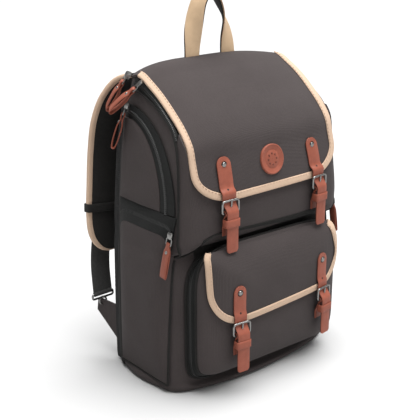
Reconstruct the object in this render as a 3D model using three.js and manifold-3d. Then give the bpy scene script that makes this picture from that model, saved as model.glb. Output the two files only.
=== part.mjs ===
// Rucksack with a buckled top flap, a buckled front pocket, zipped side pockets,
// padded shoulder straps and a carry handle, standing on its flat base.
// Millimetres, +Z up, -Y to the front, +Y to the wearer's back. The origin is the centre of the base.
import * as THREE from 'three';
import { mergeVertices } from 'three/addons/utils/BufferGeometryUtils.js';
import Module from 'manifold-3d';

const wasm = await Module();
wasm.setup();

// Cloth and leather thicknesses, and the gap that sewn pieces keep
const GAP = 0.4;
const WALL = 4; // padded body wall
const CLOTH = 2.2;
const TAPE = 1.1; // binding tape, each of its two sides
const LEATHER = 2.2;

// Main body: one row for each height of its horizontal section.
// crown is how far the middle of the front stands before its corners.
const BODY_ROWS = [
  { z: 0, half: 146, front: -59, back: 70, crown: 22 },
  { z: 4, half: 150, front: -62, back: 74, crown: 25 }, // the base stands out under the front pocket
  { z: 9, half: 150.5, front: -63, back: 75, crown: 23 },
  { z: 14, half: 151, front: -63, back: 76, crown: 8 },
  { z: 40, half: 151, front: -63, back: 76, crown: 8 },
  { z: 120, half: 150, front: -63, back: 75, crown: 8 },
  { z: 190, half: 149, front: -62, back: 73, crown: 8 },
  { z: 203, half: 148, front: -60, back: 72, crown: 8 }, // waist seam above the front pocket
  { z: 215, half: 148, front: -71, back: 72, crown: 8 },
  { z: 231, half: 147.5, front: -81, back: 72, crown: 8 },
  { z: 252, half: 146, front: -82, back: 72, crown: 8 },
  { z: 275, half: 144, front: -80, back: 72, crown: 8 },
  { z: 320, half: 140, front: -78, back: 71, crown: 8 },
  { z: 370, half: 134, front: -78, back: 66, crown: 8 },
  { z: 440, half: 125, front: -78, back: 54, crown: 8 },
];
const SIDE_POWER = 9; // how square the section is across its width
const FRONT_POWER = 11; // and across its depth
const RING = 24;
const BODY_LEVELS = [0, 4, 9, 14, 40, 190, 203, 215, 231, 320, 370, 440];
const CAVITY_LEVELS = [WALL, 14, 190, 203, 231, 320, 450];

// Top flap: its side edge seen from the side, from the back seam over the top to its lower edge.
// crown is how far the middle of the flap stands above that edge, and power how flat that middle is.
const FLAP_ROWS = [
  { y: 72, z: 405, half: 124, crown: 11, power: 6 },
  { y: 54, z: 415, half: 126, crown: 13, power: 5.7 },
  { y: 32, z: 421, half: 127, crown: 13.5, power: 5.7 },
  { y: 9, z: 411, half: 127.5, crown: 12.5, power: 5.5 },
  { y: -13, z: 398, half: 128, crown: 11.5, power: 5.2 },
  { y: -33, z: 382.5, half: 128, crown: 10.5, power: 4.6 },
  { y: -54.5, z: 363, half: 128, crown: 9.5, power: 3.5 },
  { y: -68.5, z: 344, half: 128, crown: 9, power: 2.5 },
  { y: -74, z: 324, half: 128, crown: 8.5, power: 2 },
  { y: -79.5, z: 304, half: 128, crown: 7.5, power: 2 },
  { y: -84, z: 287, half: 128, crown: 6, power: 2 },
  { y: -87.5, z: 272, half: 128, crown: 5, power: 2 },
];
const FLAP_RIGHT_POWER = 2.2; // the right half falls away more evenly
const FLAP_BACK_Y = 56;
const FLAP_CORNER = { wide: 68, tall: 42 };
const FLAP_FRONT = 0.4; // share of the flap's run above which its front starts
const TAPE_REACH = 7.5; // how far the binding tape laps onto the cloth
const TAPE_ROOM = 0.85; // between the tape and the cloth that it folds round
const FLAP_SPAN = 175; // half the width of the tools that cut the body
const FLAP_ACROSS = [-1, -0.95, -0.85, -0.6, -0.2, 0.2, 0.6, 0.85, 0.95, 1]; // columns across it
const BESIDE_FLAP = [1.03, 1.37]; // columns of the cutting tool beyond the flap
const EDGE_ROOM = { from: 0.9, deep: 1.4 }; // more room near the flap's edges

// Side rim of the main compartment, where its zip runs below the flap's edge
const RIM_ROWS = [
  { y: 40, z: 403 },
  { y: 24, z: 402 },
  { y: 4, z: 393 },
  { y: -16, z: 380 },
  { y: -35, z: 364 },
  { y: -50, z: 352 },
];
const RIM_LIFT = 60;

// Front pocket: one row for each depth of its outline, from the body to the front panel's edge
const POCKET_ROWS = [
  { depth: 0, half: 131, low: 14, high: 202 },
  { depth: 0.5, half: 131, low: 19, high: 206 },
  { depth: 1, half: 129, low: 26, high: 209 },
];
const POCKET_POWER = { upper: 5, lower: 9 }; // how square the outline's corners are
const POCKET_EDGE_Y = -83;
const POCKET_DOME = 24;
const DOME_POWER = 3; // how flat the middle of the dome is
const GUSSET_GAP = 0.6; // between the gusset's seam and the body
const PANEL_SHARES = [0.45, 0.75, 0.92, 1]; // rings of the panel, from its middle to its edge
const POCKET_FLAP = { low: 107, half: 121, taper: 2, corner: 46, topCorner: 8, below: 1.5 };
const POCKET_FLAP_LIE = { seam: 1.6, power: 16 }; // how it lies on the dome
const POCKET_FLAP_SHARES = [-1, -0.9, -0.72, -0.4, 0, 0.4, 0.72, 0.9, 1]; // columns across it

// Side pockets: the lower one stands off the wall, the upper one is a zipped door under an arch
const SIDE_POCKET = { front: -57, lean: 10, back: 66, low: 13, high: 229, arch: 10, bulge: 10 };
const SWELL = { edge: 4, foot: 6, mouth: 0.75, mouthFrom: 0.6 }; // how the pocket's bulge fades to its edges
const POCKET_SHARES = [-1, -0.9, -0.5, 0.5, 0.9, 1]; // columns across the side pocket
const POCKET_UPS = [0, 0.06, 0.2, 0.6, 0.9, 1]; // rows up the side pocket
const SIDE_ZIP_TOP = 256;
const DOOR = { low: 251, back: 62, deep: 97, tall: 116, bulge: 3.5, foot: 6, head: 3 };
const DOOR_SHARES = [0, 0.06, 0.25, 0.75, 0.94, 1]; // columns across the door
const ZIP_BAND = { deep: 28, tall: 16, head: 0.5 };
const SIDE_LIMIT = 0.9; // how far round the body's corners the side pieces reach

// Buckled closures: heights from the flap's lower edge, and how far the strap stands forward of it
const CLOSURE_X = { upper: 82, lower: 78 };
const STRAP_HALF = { upper: 11.3, lower: 9.9 };
const STRAP_RISE = { upper: 55, lower: 52 };
const STRAP_TAIL = { upper: 0.83, lower: 0.97, from: 0.35, to: 0.6 }; // how much narrower the tail is
const STRAP_END = { top: 0.07, tail: 0.03 }; // shares of the strap's length that its ends take
const STRAP_END_STEPS = [0, 0.3, 0.65];
const STRAP_ROUND = { top: 0.85, tail: 0.4 }; // how round the ends are
const STRAP_LEAVES = 16; // height above the flap's edge where the strap starts to stand off
const TAPE_STEP = { high: 18, long: 6 }; // where the strap climbs over the flap's tape
const STRAP_ROWS = [
  { z: 10, y: -3.7 },
  { z: 4, y: -3.7 },
  { z: -1, y: -3.9 },
  { z: -5, y: -5.6 },
  { z: -9, y: -8.8 },
  { z: -13, y: -11.4 },
  { z: -19, y: -11.8 },
  { z: -34, y: -11.2 },
  { z: -50, y: -11 },
  { z: -68, y: -11.2 },
];
const BUCKLE = { half: 14.6, top: 2.5, heel: -17, bar: 2.8, deep: 2.6, y: -6.6, corner: 4.5, inner: 2.5 };
const PRONG = { wide: 2.6, deep: 2.2, y: -1.4, sunk: 1, lean: 0.08 }; // its lean is in radians
const PRONG_SLOT = { wide: 4.6, deep: 14, tall: 13, y: -8, z: -7 };
const PRONG_ROOM = { wide: 5, side: 12, y: -2, z: 2.5 };
const SLEEVE_R = 3.2;
const CHAPE_HALF = 9.5;
const CHAPE_ROWS = [{ z: -1.6, y: 1.9 }, { z: -6, y: 2.2 }]; // from the buckle's heel bar
const CHAPE_SEAT = -36; // where it lies on the bag
const CHAPE_LOW = [-44, -52]; // and hangs straight from there
const KEEPER = { z: -28, tall: 11, half: 11.5, front: -14.1, back: -3.2, wall: 1.2 };

// Zip pulls: a leather strip folded into a loop, on a metal slider. at is the loop's top, hang the way
// it hangs, face the way its flat side looks, and seat how far the slider reaches back to its zip.
const PULL = { long: 49, half: 6.2, neck: 3.6, strip: 1.5, top: 3.4, open: 3.6, bend: 0.55 };
const PULL_PINCH = { by: 0.55, at: 0.2, long: 0.1 }; // the neck, as shares of the loop's length
const PULL_SPREAD = { from: 0.25, to: 0.8 };
const PULL_WIDEN = { from: 0.08, to: 0.26 };
const LINK = { half: 5.6, wire: 1.1, low: -3.4, high: 6.5 };
const SLIDER = { half: 4, deep: 3.2, low: 5.6, high: 15 };
const PULL_ROWS = [
  { name: 'top_back', at: [-132, 60, 410], hang: [-0.19, 0.5, -0.81], face: [-1, 0.4, 0.6], seat: 5.1 },
  { name: 'top_front', at: [-138, 27, 405.5], hang: [-0.34, 0.66, -0.67], face: [-1, 0.3, 0.9], seat: 0.8 },
  { name: 'door_left', at: [-143.4, 44.5, 372], hang: [-0.3, 0.16, -1], face: [-0.76, 0.65, 0], seat: 4 },
  { name: 'door_right', at: [143.4, 44.5, 372], hang: [0.3, 0.16, -1], face: [0.76, 0.65, 0], seat: 4 },
  { name: 'pocket_left', at: [-154.4, -55, 221.5], hang: [-0.13, 0.02, -1], face: [-1, 0, 0], seat: 1.6 },
  { name: 'pocket_right', at: [154.4, -55, 221.5], hang: [0.13, 0.02, -1], face: [1, 0, 0], seat: 1.6 },
];

// Carry handle: its centre line, and the way its outer face turns from front to up
const HANDLE = { foot: 34, y: 37, sunk: 1.5, half: 12, skin: 1.8, lining: 1.4 };
const HANDLE_ROWS = [
  { x: -34, up: 0 },
  { x: -32.7, up: 23 },
  { x: -30.5, up: 41 },
  { x: -26.9, up: 58 },
  { x: -21, up: 74 },
  { x: -13, up: 84 },
  { x: -4, up: 87 },
  { x: 4, up: 83 },
  { x: 11, up: 74 },
  { x: 20, up: 56 },
  { x: 25.6, up: 37 },
  { x: 28.4, up: 18 },
  { x: 30, up: 0 },
];
const HANDLE_TURNED = 0.7; // how far up the arch its face has turned
const HANDLE_ENDS = [0.015, 0.06]; // shares of its length near each foot

// Shoulder strap: centre line of the left one, sewn to the top of the back
const SHOULDER_ROWS = [
  { x: -64, y: 47, z: 404 },
  { x: -77, y: 68, z: 410 },
  { x: -92, y: 89, z: 400 },
  { x: -105, y: 103, z: 378 },
  { x: -114, y: 112, z: 346 },
  { x: -118, y: 117, z: 304 },
  { x: -123, y: 116, z: 252 },
  { x: -128, y: 112, z: 214 },
  { x: -129, y: 107, z: 160 },
];
const SHOULDER = { half: 30, thick: 7, tip: 46, tipPower: 2.4, end: 0.9985, reach: 5 };
const PAD_SHARES = [-1, -0.75, 0.75, 1]; // columns across the strap
const STRAP_BEND = { root: 0.06, from: 0.12, to: 0.42 }; // where it curls over the back's top
const ELASTIC = { at: 0.76, tall: 12, thick: 1.4 };
const WEBBING_ROWS = [
  { x: -131, y: 118, z: 196 },
  { x: -136, y: 117, z: 168 },
  { x: -142, y: 112, z: 136 },
  { x: -145, y: 105, z: 95 },
];
const WEBBING = { half: 15, thick: 1.8 };
const HOOK = { half: 19, wire: 1.5, tall: 9, eye: 5.5, sleeve: 3.4, corner: 3, innerCorner: 1.2 };
const TAB = { x: -139, y: 48, thick: 3, low: 12, high: 84, tip: 9, tipHalf: 8, hole: 3 };

const BACK_PAD = { half: 122, share: 0.86, low: 16, high: 390, thick: 4, edge: 1.5, power: 6 };
const BADGE = { z: 311, r: 20.5, thick: 2, rim: 2.2, rimHigh: 0.8 };

const finish = (color, roughness, metalness = 0) =>
  new THREE.MeshStandardMaterial({ color, roughness, metalness });
const materials = {
  canvas: finish(0x4a4341, 0.75),
  black: finish(0x17191a, 0.8),
  zip: finish(0x1c1f20, 0.55),
  beige: finish(0xd0b491, 0.7),
  leather: finish(0xb0624a, 0.55),
  metal: finish(0x8f8f8c, 0.3, 1),
};

const rucksack = new THREE.Group();

function add(name, geometry, material, parent = rucksack) {
  const mesh = new THREE.Mesh(geometry, material);
  mesh.name = name;
  parent.add(mesh);
  return mesh;
}

// Small tools for numbers, tables and solids
const v3 = (x, y, z) => new THREE.Vector3(x, y, z);
const { lerp, clamp, smoothstep } = THREE.MathUtils;
const steps = (count, from = 0, to = 1) =>
  Array.from({ length: count + 1 }, (_, i) => lerp(from, to, i / count));
const signed = (value, power) => Math.sign(value) * Math.abs(value) ** power;

// A smooth value between a table's rows, with no overshoot; key is the rising column
function between(rows, key, column) {
  const at = rows.map((row) => row[key]);
  const value = rows.map((row) => row[column]);
  const slope = at.slice(1).map((x, i) => (value[i + 1] - value[i]) / (x - at[i]));
  const tangent = value.map((_, i) => {
    const before = slope[Math.max(i - 1, 0)];
    const after = slope[Math.min(i, slope.length - 1)];
    return before * after <= 0 ? 0 : (2 * before * after) / (before + after);
  });
  return (x) => {
    const i = clamp(at.findIndex((a) => a > x) - 1, 0, at.length - 2);
    const k = x >= at[at.length - 1] ? at.length - 2 : i;
    const wide = at[k + 1] - at[k];
    const t = clamp((x - at[k]) / wide, 0, 1);
    const s = t * t * (3 - 2 * t);
    return (
      lerp(value[k], value[k + 1], s) +
      wide * t * (1 - t) * ((1 - t) * tangent[k] - t * tangent[k + 1])
    );
  };
}

function closedSolid(points, triangles) {
  const volume = triangles.reduce(
    (sum, [a, b, c]) => sum + points[a].dot(v3().crossVectors(points[b], points[c])),
    0,
  );
  const faces = volume < 0 ? triangles.map(([a, b, c]) => [a, c, b]) : triangles;
  return new THREE.BufferGeometry().setFromPoints(points).setIndex(faces.flat());
}

// A tube through rings of points, with fans over its two ends, or joined end to end.
// cap lists the triangles of an end that a fan can't cover.
function tube(rings, closed = false, cap = null) {
  const n = rings[0].length;
  const points = rings.flat();
  const triangles = [];
  const last = closed ? rings.length : rings.length - 1;
  for (let j = 0; j < last; j++) {
    for (let i = 0; i < n; i++) {
      const a = j * n + i;
      const b = j * n + ((i + 1) % n);
      const up = (((j + 1) % rings.length) - j) * n;
      triangles.push([a, b, b + up], [a, b + up, a + up]);
    }
  }
  if (!closed) {
    for (const [j, turn] of [[0, true], [rings.length - 1, false]]) {
      if (cap) {
        const ends = cap.map((corners) => corners.map((i) => j * n + i));
        triangles.push(...(turn ? ends.map((corners) => corners.reverse()) : ends));
        continue;
      }
      const middle = rings[j].reduce((sum, p) => sum.add(p), v3(0, 0, 0)).divideScalar(n);
      points.push(middle);
      for (let i = 0; i < n; i++) {
        const edge = [j * n + i, j * n + ((i + 1) % n)];
        triangles.push(turn ? [edge[1], edge[0], points.length - 1] : [...edge, points.length - 1]);
      }
    }
  }
  return closedSolid(points, triangles);
}

// A sheet between an outer and an inner surface; wrap joins its two sides into a ring
function sheet(us, vs, outer, inner, wrap = false) {
  const points = [outer, inner].flatMap((face) => vs.flatMap((v) => us.map((u) => face(u, v))));
  const layer = us.length * vs.length;
  const triangles = [];
  const quad = (a, b, c, d) => triangles.push([a, b, c], [a, c, d]);
  const columns = wrap ? us.length : us.length - 1;
  for (let j = 0; j < vs.length; j++) {
    for (let i = 0; i < columns; i++) {
      const a = j * us.length + i;
      const b = j * us.length + ((i + 1) % us.length);
      if (j < vs.length - 1) {
        quad(a, b, b + us.length, a + us.length);
        quad(a + layer, a + us.length + layer, b + us.length + layer, b + layer);
      }
      if (j === 0) quad(b, a, a + layer, b + layer);
      if (j === vs.length - 1) quad(a, b, b + layer, a + layer);
    }
    if (!wrap && j < vs.length - 1) {
      const a = j * us.length;
      const b = a + us.length - 1;
      quad(a, a + us.length, a + us.length + layer, a + layer);
      quad(b + us.length, b, b + layer, b + us.length + layer);
    }
  }
  return closedSolid(points, triangles);
}

function solid(geometry) {
  const bare = geometry.clone();
  bare.deleteAttribute('normal');
  bare.deleteAttribute('uv');
  const merged = mergeVertices(bare, 1e-4);
  return new wasm.Manifold(
    new wasm.Mesh({
      numProp: 3,
      vertProperties: new Float32Array(merged.attributes.position.array),
      triVerts: new Uint32Array(merged.index.array),
    }),
  );
}

function geometryOf(manifold) {
  const mesh = manifold.getMesh();
  return new THREE.BufferGeometry()
    .setAttribute('position', new THREE.BufferAttribute(new Float32Array(mesh.vertProperties), 3))
    .setIndex(Array.from(mesh.triVerts));
}

const joined = (...geometries) =>
  geometryOf(geometries.map(solid).reduce((whole, next) => whole.add(next)));

// A straight prism: a shape drawn in the X and Z directions, given a depth along Y
function plate(shape, deep) {
  return new THREE.ExtrudeGeometry(shape, { depth: deep, bevelEnabled: false, curveSegments: 2 })
    .rotateX(Math.PI / 2)
    .translate(0, deep / 2, 0);
}

function roundedRect(half, low, high, corner) {
  const shape = new THREE.Shape();
  shape.moveTo(-half + corner, low);
  shape.lineTo(half - corner, low);
  shape.absarc(half - corner, low + corner, corner, -Math.PI / 2, 0);
  shape.absarc(half - corner, high - corner, corner, 0, Math.PI / 2);
  shape.absarc(-half + corner, high - corner, corner, Math.PI / 2, Math.PI);
  shape.absarc(-half + corner, low + corner, corner, Math.PI, Math.PI * 1.5);
  return shape;
}

function mirrored(geometry) {
  const copy = geometry.clone().scale(-1, 1, 1);
  const corners = copy.index.array;
  for (let i = 0; i < corners.length; i += 3) {
    [corners[i], corners[i + 1]] = [corners[i + 1], corners[i]];
  }
  return copy;
}

const box = (wide, deep, tall, x, y, z) =>
  new THREE.BoxGeometry(wide, deep, tall).translate(x, y, z);

// Frames along the edge of a curved surface: out points off the edge, up off the surface.
// turn is -1 where the outline runs clockwise round the surface; upAt gives the way up where it is known.
function edgeFrames(surface, outline, turn = 1, upAt = null) {
  const d = 1e-3;
  return outline.map((at, i) => {
    const p = surface(...at);
    const before = surface(...outline[Math.max(i - 1, 0)]);
    const after = surface(...outline[Math.min(i + 1, outline.length - 1)]);
    const along = after.sub(before).normalize();
    const du = surface(at[0] + d, at[1]).sub(surface(at[0] - d, at[1]));
    const dv = surface(at[0], at[1] + d).sub(surface(at[0], at[1] - d));
    const up = upAt ? upAt(...at) : du.cross(dv).normalize();
    return { p, up, out: v3().crossVectors(along, up).setLength(turn) };
  });
}

// Binding tape folded round an edge of cloth: a channel section along the edge
function binding(frames, thick, reach) {
  const inner = thick / 2 + TAPE_ROOM;
  const outer = inner + TAPE;
  const section = [
    [-reach, outer], [GAP + TAPE, outer], [GAP + TAPE, -outer], [-reach, -outer],
    [-reach, -inner], [GAP, -inner], [GAP, inner], [-reach, inner],
  ];
  const cap = [[0, 1, 6], [0, 6, 7], [1, 2, 5], [1, 5, 6], [2, 3, 4], [2, 4, 5]];
  const rings = frames.map(({ p, up, out }) =>
    section.map(([o, u]) => p.clone().addScaledVector(out, o).addScaledVector(up, u)),
  );
  return tube(rings, false, cap);
}

// A flat strap along a path, its width held along X; at lists the places along it
function ribbon(path, half, thick, at, taper = () => 1) {
  const curve = new THREE.CatmullRomCurve3(path);
  const face = (side) => (u, v) => {
    const along = curve.getTangent(v);
    const wide = v3(1, 0, 0).addScaledVector(along, -along.x).normalize();
    const up = v3().crossVectors(wide, along);
    return curve
      .getPoint(v)
      .addScaledVector(wide, u * half * taper(v))
      .addScaledVector(up, (side * thick) / 2);
  };
  return sheet([-1, 1], at, face(1), face(-1));
}

// Cuts a piece back to its neighbours; place is the frame that the piece is drawn in
function trimmed(geometry, neighbours, place = new THREE.Matrix4()) {
  const back = place.clone().invert();
  const left = neighbours.reduce(
    (rest, next) => rest.subtract(solid(next.clone().applyMatrix4(back))),
    solid(geometry),
  );
  return geometryOf(left);
}

// Main body: sections squared off towards a box, and the surface that the sewn pieces follow
const bodyHalf = between(BODY_ROWS, 'z', 'half');
const bodyFront = between(BODY_ROWS, 'z', 'front');
const bodyBack = between(BODY_ROWS, 'z', 'back');
const bodyCrown = between(BODY_ROWS, 'z', 'crown');
const bodyMid = (z) => (bodyFront(z) + bodyBack(z)) / 2;
const bodyDeep = (z) => (bodyBack(z) - bodyFront(z)) / 2;
const across = (x, z) =>
  Math.max(1 - Math.abs(x / bodyHalf(z)) ** SIDE_POWER, 0) ** (1 / FRONT_POWER);
const crown = (x, z) => bodyCrown(z) * (1 - (x / bodyHalf(z)) ** 2);
const frontY = (x, z) => bodyMid(z) - (bodyDeep(z) + crown(x, z)) * across(x, z);
const backY = (x, z) => bodyMid(z) + bodyDeep(z) * across(x, z);
const sideX = (y, z) => {
  const share = Math.abs((y - bodyMid(z)) / bodyDeep(z));
  return bodyHalf(z) * Math.max(1 - share ** FRONT_POWER, 0) ** (1 / SIDE_POWER);
};

function bodyRing(z, inset) {
  const half = bodyHalf(z) - inset;
  const deep = bodyDeep(z) - inset;
  return steps(RING).slice(1).map((turn) => {
    const angle = turn * Math.PI * 2;
    const x = half * signed(Math.cos(angle), 2 / SIDE_POWER);
    const away = signed(Math.sin(angle), 2 / FRONT_POWER);
    const front = Math.max(-away, 0) * bodyCrown(z) * (1 - (x / half) ** 2);
    return v3(x, bodyMid(z) + deep * away - front, z);
  });
}
const bodyRoom = tube(BODY_LEVELS.map((z) => bodyRing(z, -GAP)));

// Top flap: a sheet over its edge curve, crowned across its width, with two round lower corners.
// along is 0 at the hidden end of its back seam and 1 at its lower edge.
const flapCurve = new THREE.CatmullRomCurve3(FLAP_ROWS.map((row) => v3(row.half, row.y, row.z)));
const flapCrown = new THREE.CatmullRomCurve3(FLAP_ROWS.map((row) => v3(row.crown, row.power, 0)));
const flapLength = flapCurve.getLength();
const flapAt = (test) => steps(800).find((along) => test(flapPoint(0, along, 0)));

function flapPoint(x, along, lift, rise = 0) {
  const t = flapCurve.getUtoTmapping(clamp(along, 0, 1));
  const edge = flapCurve.getPoint(t);
  const tangent = flapCurve.getTangent(t);
  const up = v3(0, tangent.z, -tangent.y).normalize();
  const { x: crown, y: leftPower } = flapCrown.getPoint(t);
  const power = x > 0 ? Math.min(leftPower, FLAP_RIGHT_POWER) : leftPower;
  const share = Math.abs(x / edge.x);
  const inside = Math.min(share, 1);
  const beside = share > inside + 1e-6;
  const slope = beside ? 0 : (Math.sign(x) * crown * power * inside ** (power - 1)) / edge.x;
  const normal = v3(slope, 0, 0).add(up).normalize();
  return v3(x, edge.y, edge.z)
    .addScaledVector(up, crown * (1 - inside ** power) + rise)
    .addScaledVector(normal, lift);
}
const flapUp = (x, along) => flapPoint(x, along, 1).sub(flapPoint(x, along, 0));
const flapEdge = (along) => flapCurve.getPointAt(along).x;

function flapHalf(along) {
  const { wide, tall } = FLAP_CORNER;
  const drop = Math.max(tall - (1 - along) * flapLength, 0) / tall;
  return flapEdge(along) - wide + wide * Math.sqrt(Math.max(1 - drop ** 2, 0));
}

const cornerSteps = (count) => steps(count).slice(1).map((t) => Math.sin((t * Math.PI) / 2));
const flapStart = flapAt((p) => p.y < FLAP_BACK_Y);
const flapCornerAt = 1 - FLAP_CORNER.tall / flapLength;
const flapAlong = [
  ...steps(9, flapStart, flapCornerAt),
  ...cornerSteps(4).map((t) => lerp(flapCornerAt, 1, t)),
];
const flapFace = (lift) => (u, v) => flapPoint(u * flapHalf(v), v, lift);
add('flap', sheet(FLAP_ACROSS, flapAlong, flapFace(0), flapFace(-CLOTH)), materials.canvas);
const flapRoom = sheet(FLAP_ACROSS, flapAlong, flapFace(GAP), flapFace(-CLOTH - GAP));

const flapSide = flapAlong.slice(1, -1);
const flapOutline = [
  ...flapSide.map((v) => [-flapHalf(v), v]),
  ...FLAP_ACROSS.map((u) => [u * flapHalf(1), 1]),
  ...flapSide.map((v) => [flapHalf(v), v]).reverse(),
];
const flapMiddle = (x, v) => flapPoint(x, v, -CLOTH / 2);
add(
  'flap_binding',
  binding(edgeFrames(flapMiddle, flapOutline, 1, flapUp), CLOTH, TAPE_REACH),
  materials.beige,
);

// Body shell: a padded tub, open at the top, cut to the underside of the flap and its tape
const underFlap = -CLOTH - TAPE - GAP * 4;
const besideFlap = BESIDE_FLAP.map((u) => -u).reverse();
const overFlap = sheet(
  [...besideFlap, ...FLAP_ACROSS, ...BESIDE_FLAP],
  [0, ...flapAlong],
  (u, v) => flapPoint(u * flapEdge(v), v, 0, RIM_LIFT * 2),
  (u, v) => flapPoint(u * flapEdge(v), v, underFlap - (Math.abs(u) > EDGE_ROOM.from ? EDGE_ROOM.deep : 0)),
);
const tub = solid(tube(BODY_LEVELS.map((z) => bodyRing(z, 0))))
  .subtract(solid(overFlap))
  .subtract(solid(tube(CAVITY_LEVELS.map((z) => bodyRing(z, WALL)))));

// Side zips of the main compartment: the strip of wall between the rim and the flap
function aboveRim(raise) {
  const rim = RIM_ROWS.map((row) => new THREE.Vector2(row.y, row.z + raise));
  rim[0].x -= raise;
  rim.at(-1).x += raise;
  const shape = new THREE.Shape(rim);
  shape.lineTo(rim.at(-1).x, rim[0].y + RIM_LIFT);
  shape.lineTo(rim[0].x, rim[0].y + RIM_LIFT);
  const prism = new THREE.ExtrudeGeometry(shape, { depth: FLAP_SPAN * 2, bevelEnabled: false });
  const turn = new THREE.Matrix4().makeBasis(v3(0, 1, 0), v3(0, 0, 1), v3(1, 0, 0));
  return solid(prism.translate(0, 0, -FLAP_SPAN).applyMatrix4(turn));
}
add('body_shell', geometryOf(tub.subtract(aboveRim(0))), materials.canvas);
for (const strip of tub.intersect(aboveRim(GAP)).decompose()) {
  const left = strip.boundingBox().max[0] < 0;
  add(left ? 'top_zip_left' : 'top_zip_right', geometryOf(strip), materials.zip);
}

// Padded panel on the wearer's side
const padEdge = (u) => 1 - Math.abs(u) ** BACK_PAD.power;
const backPad = (outer) => (u, v) => {
  const z = lerp(BACK_PAD.low, BACK_PAD.high, (v + 1) / 2);
  const x = u * Math.min(BACK_PAD.half, bodyHalf(z) * BACK_PAD.share);
  const thick = lerp(BACK_PAD.edge, BACK_PAD.thick, padEdge(u) * padEdge(v));
  return v3(x, backY(x, z) + (outer ? GAP + thick : -CLOTH), z);
};
const padSteps = [-1, -0.92, -0.7, 0, 0.7, 0.92, 1];
add(
  'back_panel',
  trimmed(sheet(padSteps, padSteps, backPad(true), backPad(false)), [bodyRoom]),
  materials.black,
);

// Front pocket: a zipped gusset standing off the body, and a domed panel
const pocketHalf = between(POCKET_ROWS, 'depth', 'half');
const pocketLow = between(POCKET_ROWS, 'depth', 'low');
const pocketHigh = between(POCKET_ROWS, 'depth', 'high');

function pocketOutline(turn, depth, inset) {
  const angle = turn * Math.PI * 2;
  const low = pocketLow(depth);
  const high = pocketHigh(depth);
  const power = Math.sin(angle) < 0 ? POCKET_POWER.lower : POCKET_POWER.upper;
  return {
    x: (pocketHalf(depth) - inset) * signed(Math.cos(angle), 2 / power),
    z: (low + high) / 2 + ((high - low) / 2 - inset) * signed(Math.sin(angle), 2 / power),
  };
}
const gusset = (inset) => (turn, depth) => {
  const { x, z } = pocketOutline(turn, depth, inset);
  return v3(x, lerp(frontY(x, z) - GUSSET_GAP, POCKET_EDGE_Y, depth), z);
};
const pocketTurns = steps(RING).slice(1);
add(
  'front_gusset',
  sheet(pocketTurns, steps(2), gusset(0), gusset(CLOTH), true),
  materials.zip,
);

// The panel's front: a dome over the gusset's edge, steep at the rim and flat in the middle
const panelMid = (pocketHigh(1) + pocketLow(1)) / 2;
const panelTall = (pocketHigh(1) - pocketLow(1)) / 2;
function pocketDome(power, x, z) {
  const wide = Math.abs(x / pocketHalf(1)) ** power;
  const tall = Math.abs((z - panelMid) / panelTall) ** power;
  const out = Math.min((wide + tall) ** (1 / power), 1);
  return POCKET_EDGE_Y - GAP - CLOTH - POCKET_DOME * Math.sqrt(1 - out ** DOME_POWER);
}
const pocketY = (x, z) => pocketDome(z < panelMid ? POCKET_POWER.lower : POCKET_POWER.upper, x, z);
const panelRing = (share, lift) =>
  pocketTurns.map((turn) => {
    const { x, z } = pocketOutline(turn, 1, 0);
    const px = x * share;
    const pz = panelMid + (z - panelMid) * share;
    return v3(px, pocketY(px, pz) + lift, pz);
  });
const panelRings = (lift) => PANEL_SHARES.map((share) => panelRing(share, lift));
add('front_panel', tube([...panelRings(CLOTH), ...panelRings(0).reverse()]), materials.canvas);
const panelRoom = tube([...panelRings(CLOTH * 3), ...panelRings(-GAP).reverse()]);

// Flap over the front panel, with tape on its side and lower edges
const pocketFlapTop = pocketHigh(1) - POCKET_FLAP.below;
const pocketFlapMid = (POCKET_FLAP.low + pocketFlapTop) / 2;
const pocketCorner = POCKET_FLAP.low + POCKET_FLAP.corner;
function pocketFlapHalf(z) {
  const { half, taper, corner, topCorner } = POCKET_FLAP;
  const away = (z - pocketFlapMid) / (pocketFlapTop - pocketFlapMid);
  const drop = Math.max(pocketCorner - z, 0);
  const rise = Math.max(z - pocketFlapTop + topCorner, 0);
  const low = corner - Math.sqrt(corner ** 2 - drop ** 2);
  const high = topCorner - Math.sqrt(Math.max(topCorner ** 2 - rise ** 2, 0));
  return half - taper * away ** 2 - low - high;
}
const onPanel = (lift) => (u, z) => {
  const x = u * pocketFlapHalf(z);
  return v3(x, pocketDome(POCKET_FLAP_LIE.power, x, z) - lift, z);
};
const pocketFlapRows = [
  ...cornerSteps(4).map((t) => lerp(pocketCorner, POCKET_FLAP.low, t)).reverse(),
  ...steps(2, pocketCorner, pocketFlapTop - POCKET_FLAP.topCorner),
  ...cornerSteps(3).map((t) => lerp(pocketFlapTop - POCKET_FLAP.topCorner, pocketFlapTop, t)),
];
const pocketFlapLift = POCKET_FLAP_LIE.seam + CLOTH;
const pocketFlapSheet = (outer, inner) =>
  sheet(POCKET_FLAP_SHARES, pocketFlapRows, onPanel(outer), onPanel(inner));
add('pocket_flap', pocketFlapSheet(pocketFlapLift, POCKET_FLAP_LIE.seam), materials.canvas);
const pocketFlapRoom = pocketFlapSheet(pocketFlapLift + GAP, 0);

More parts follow.
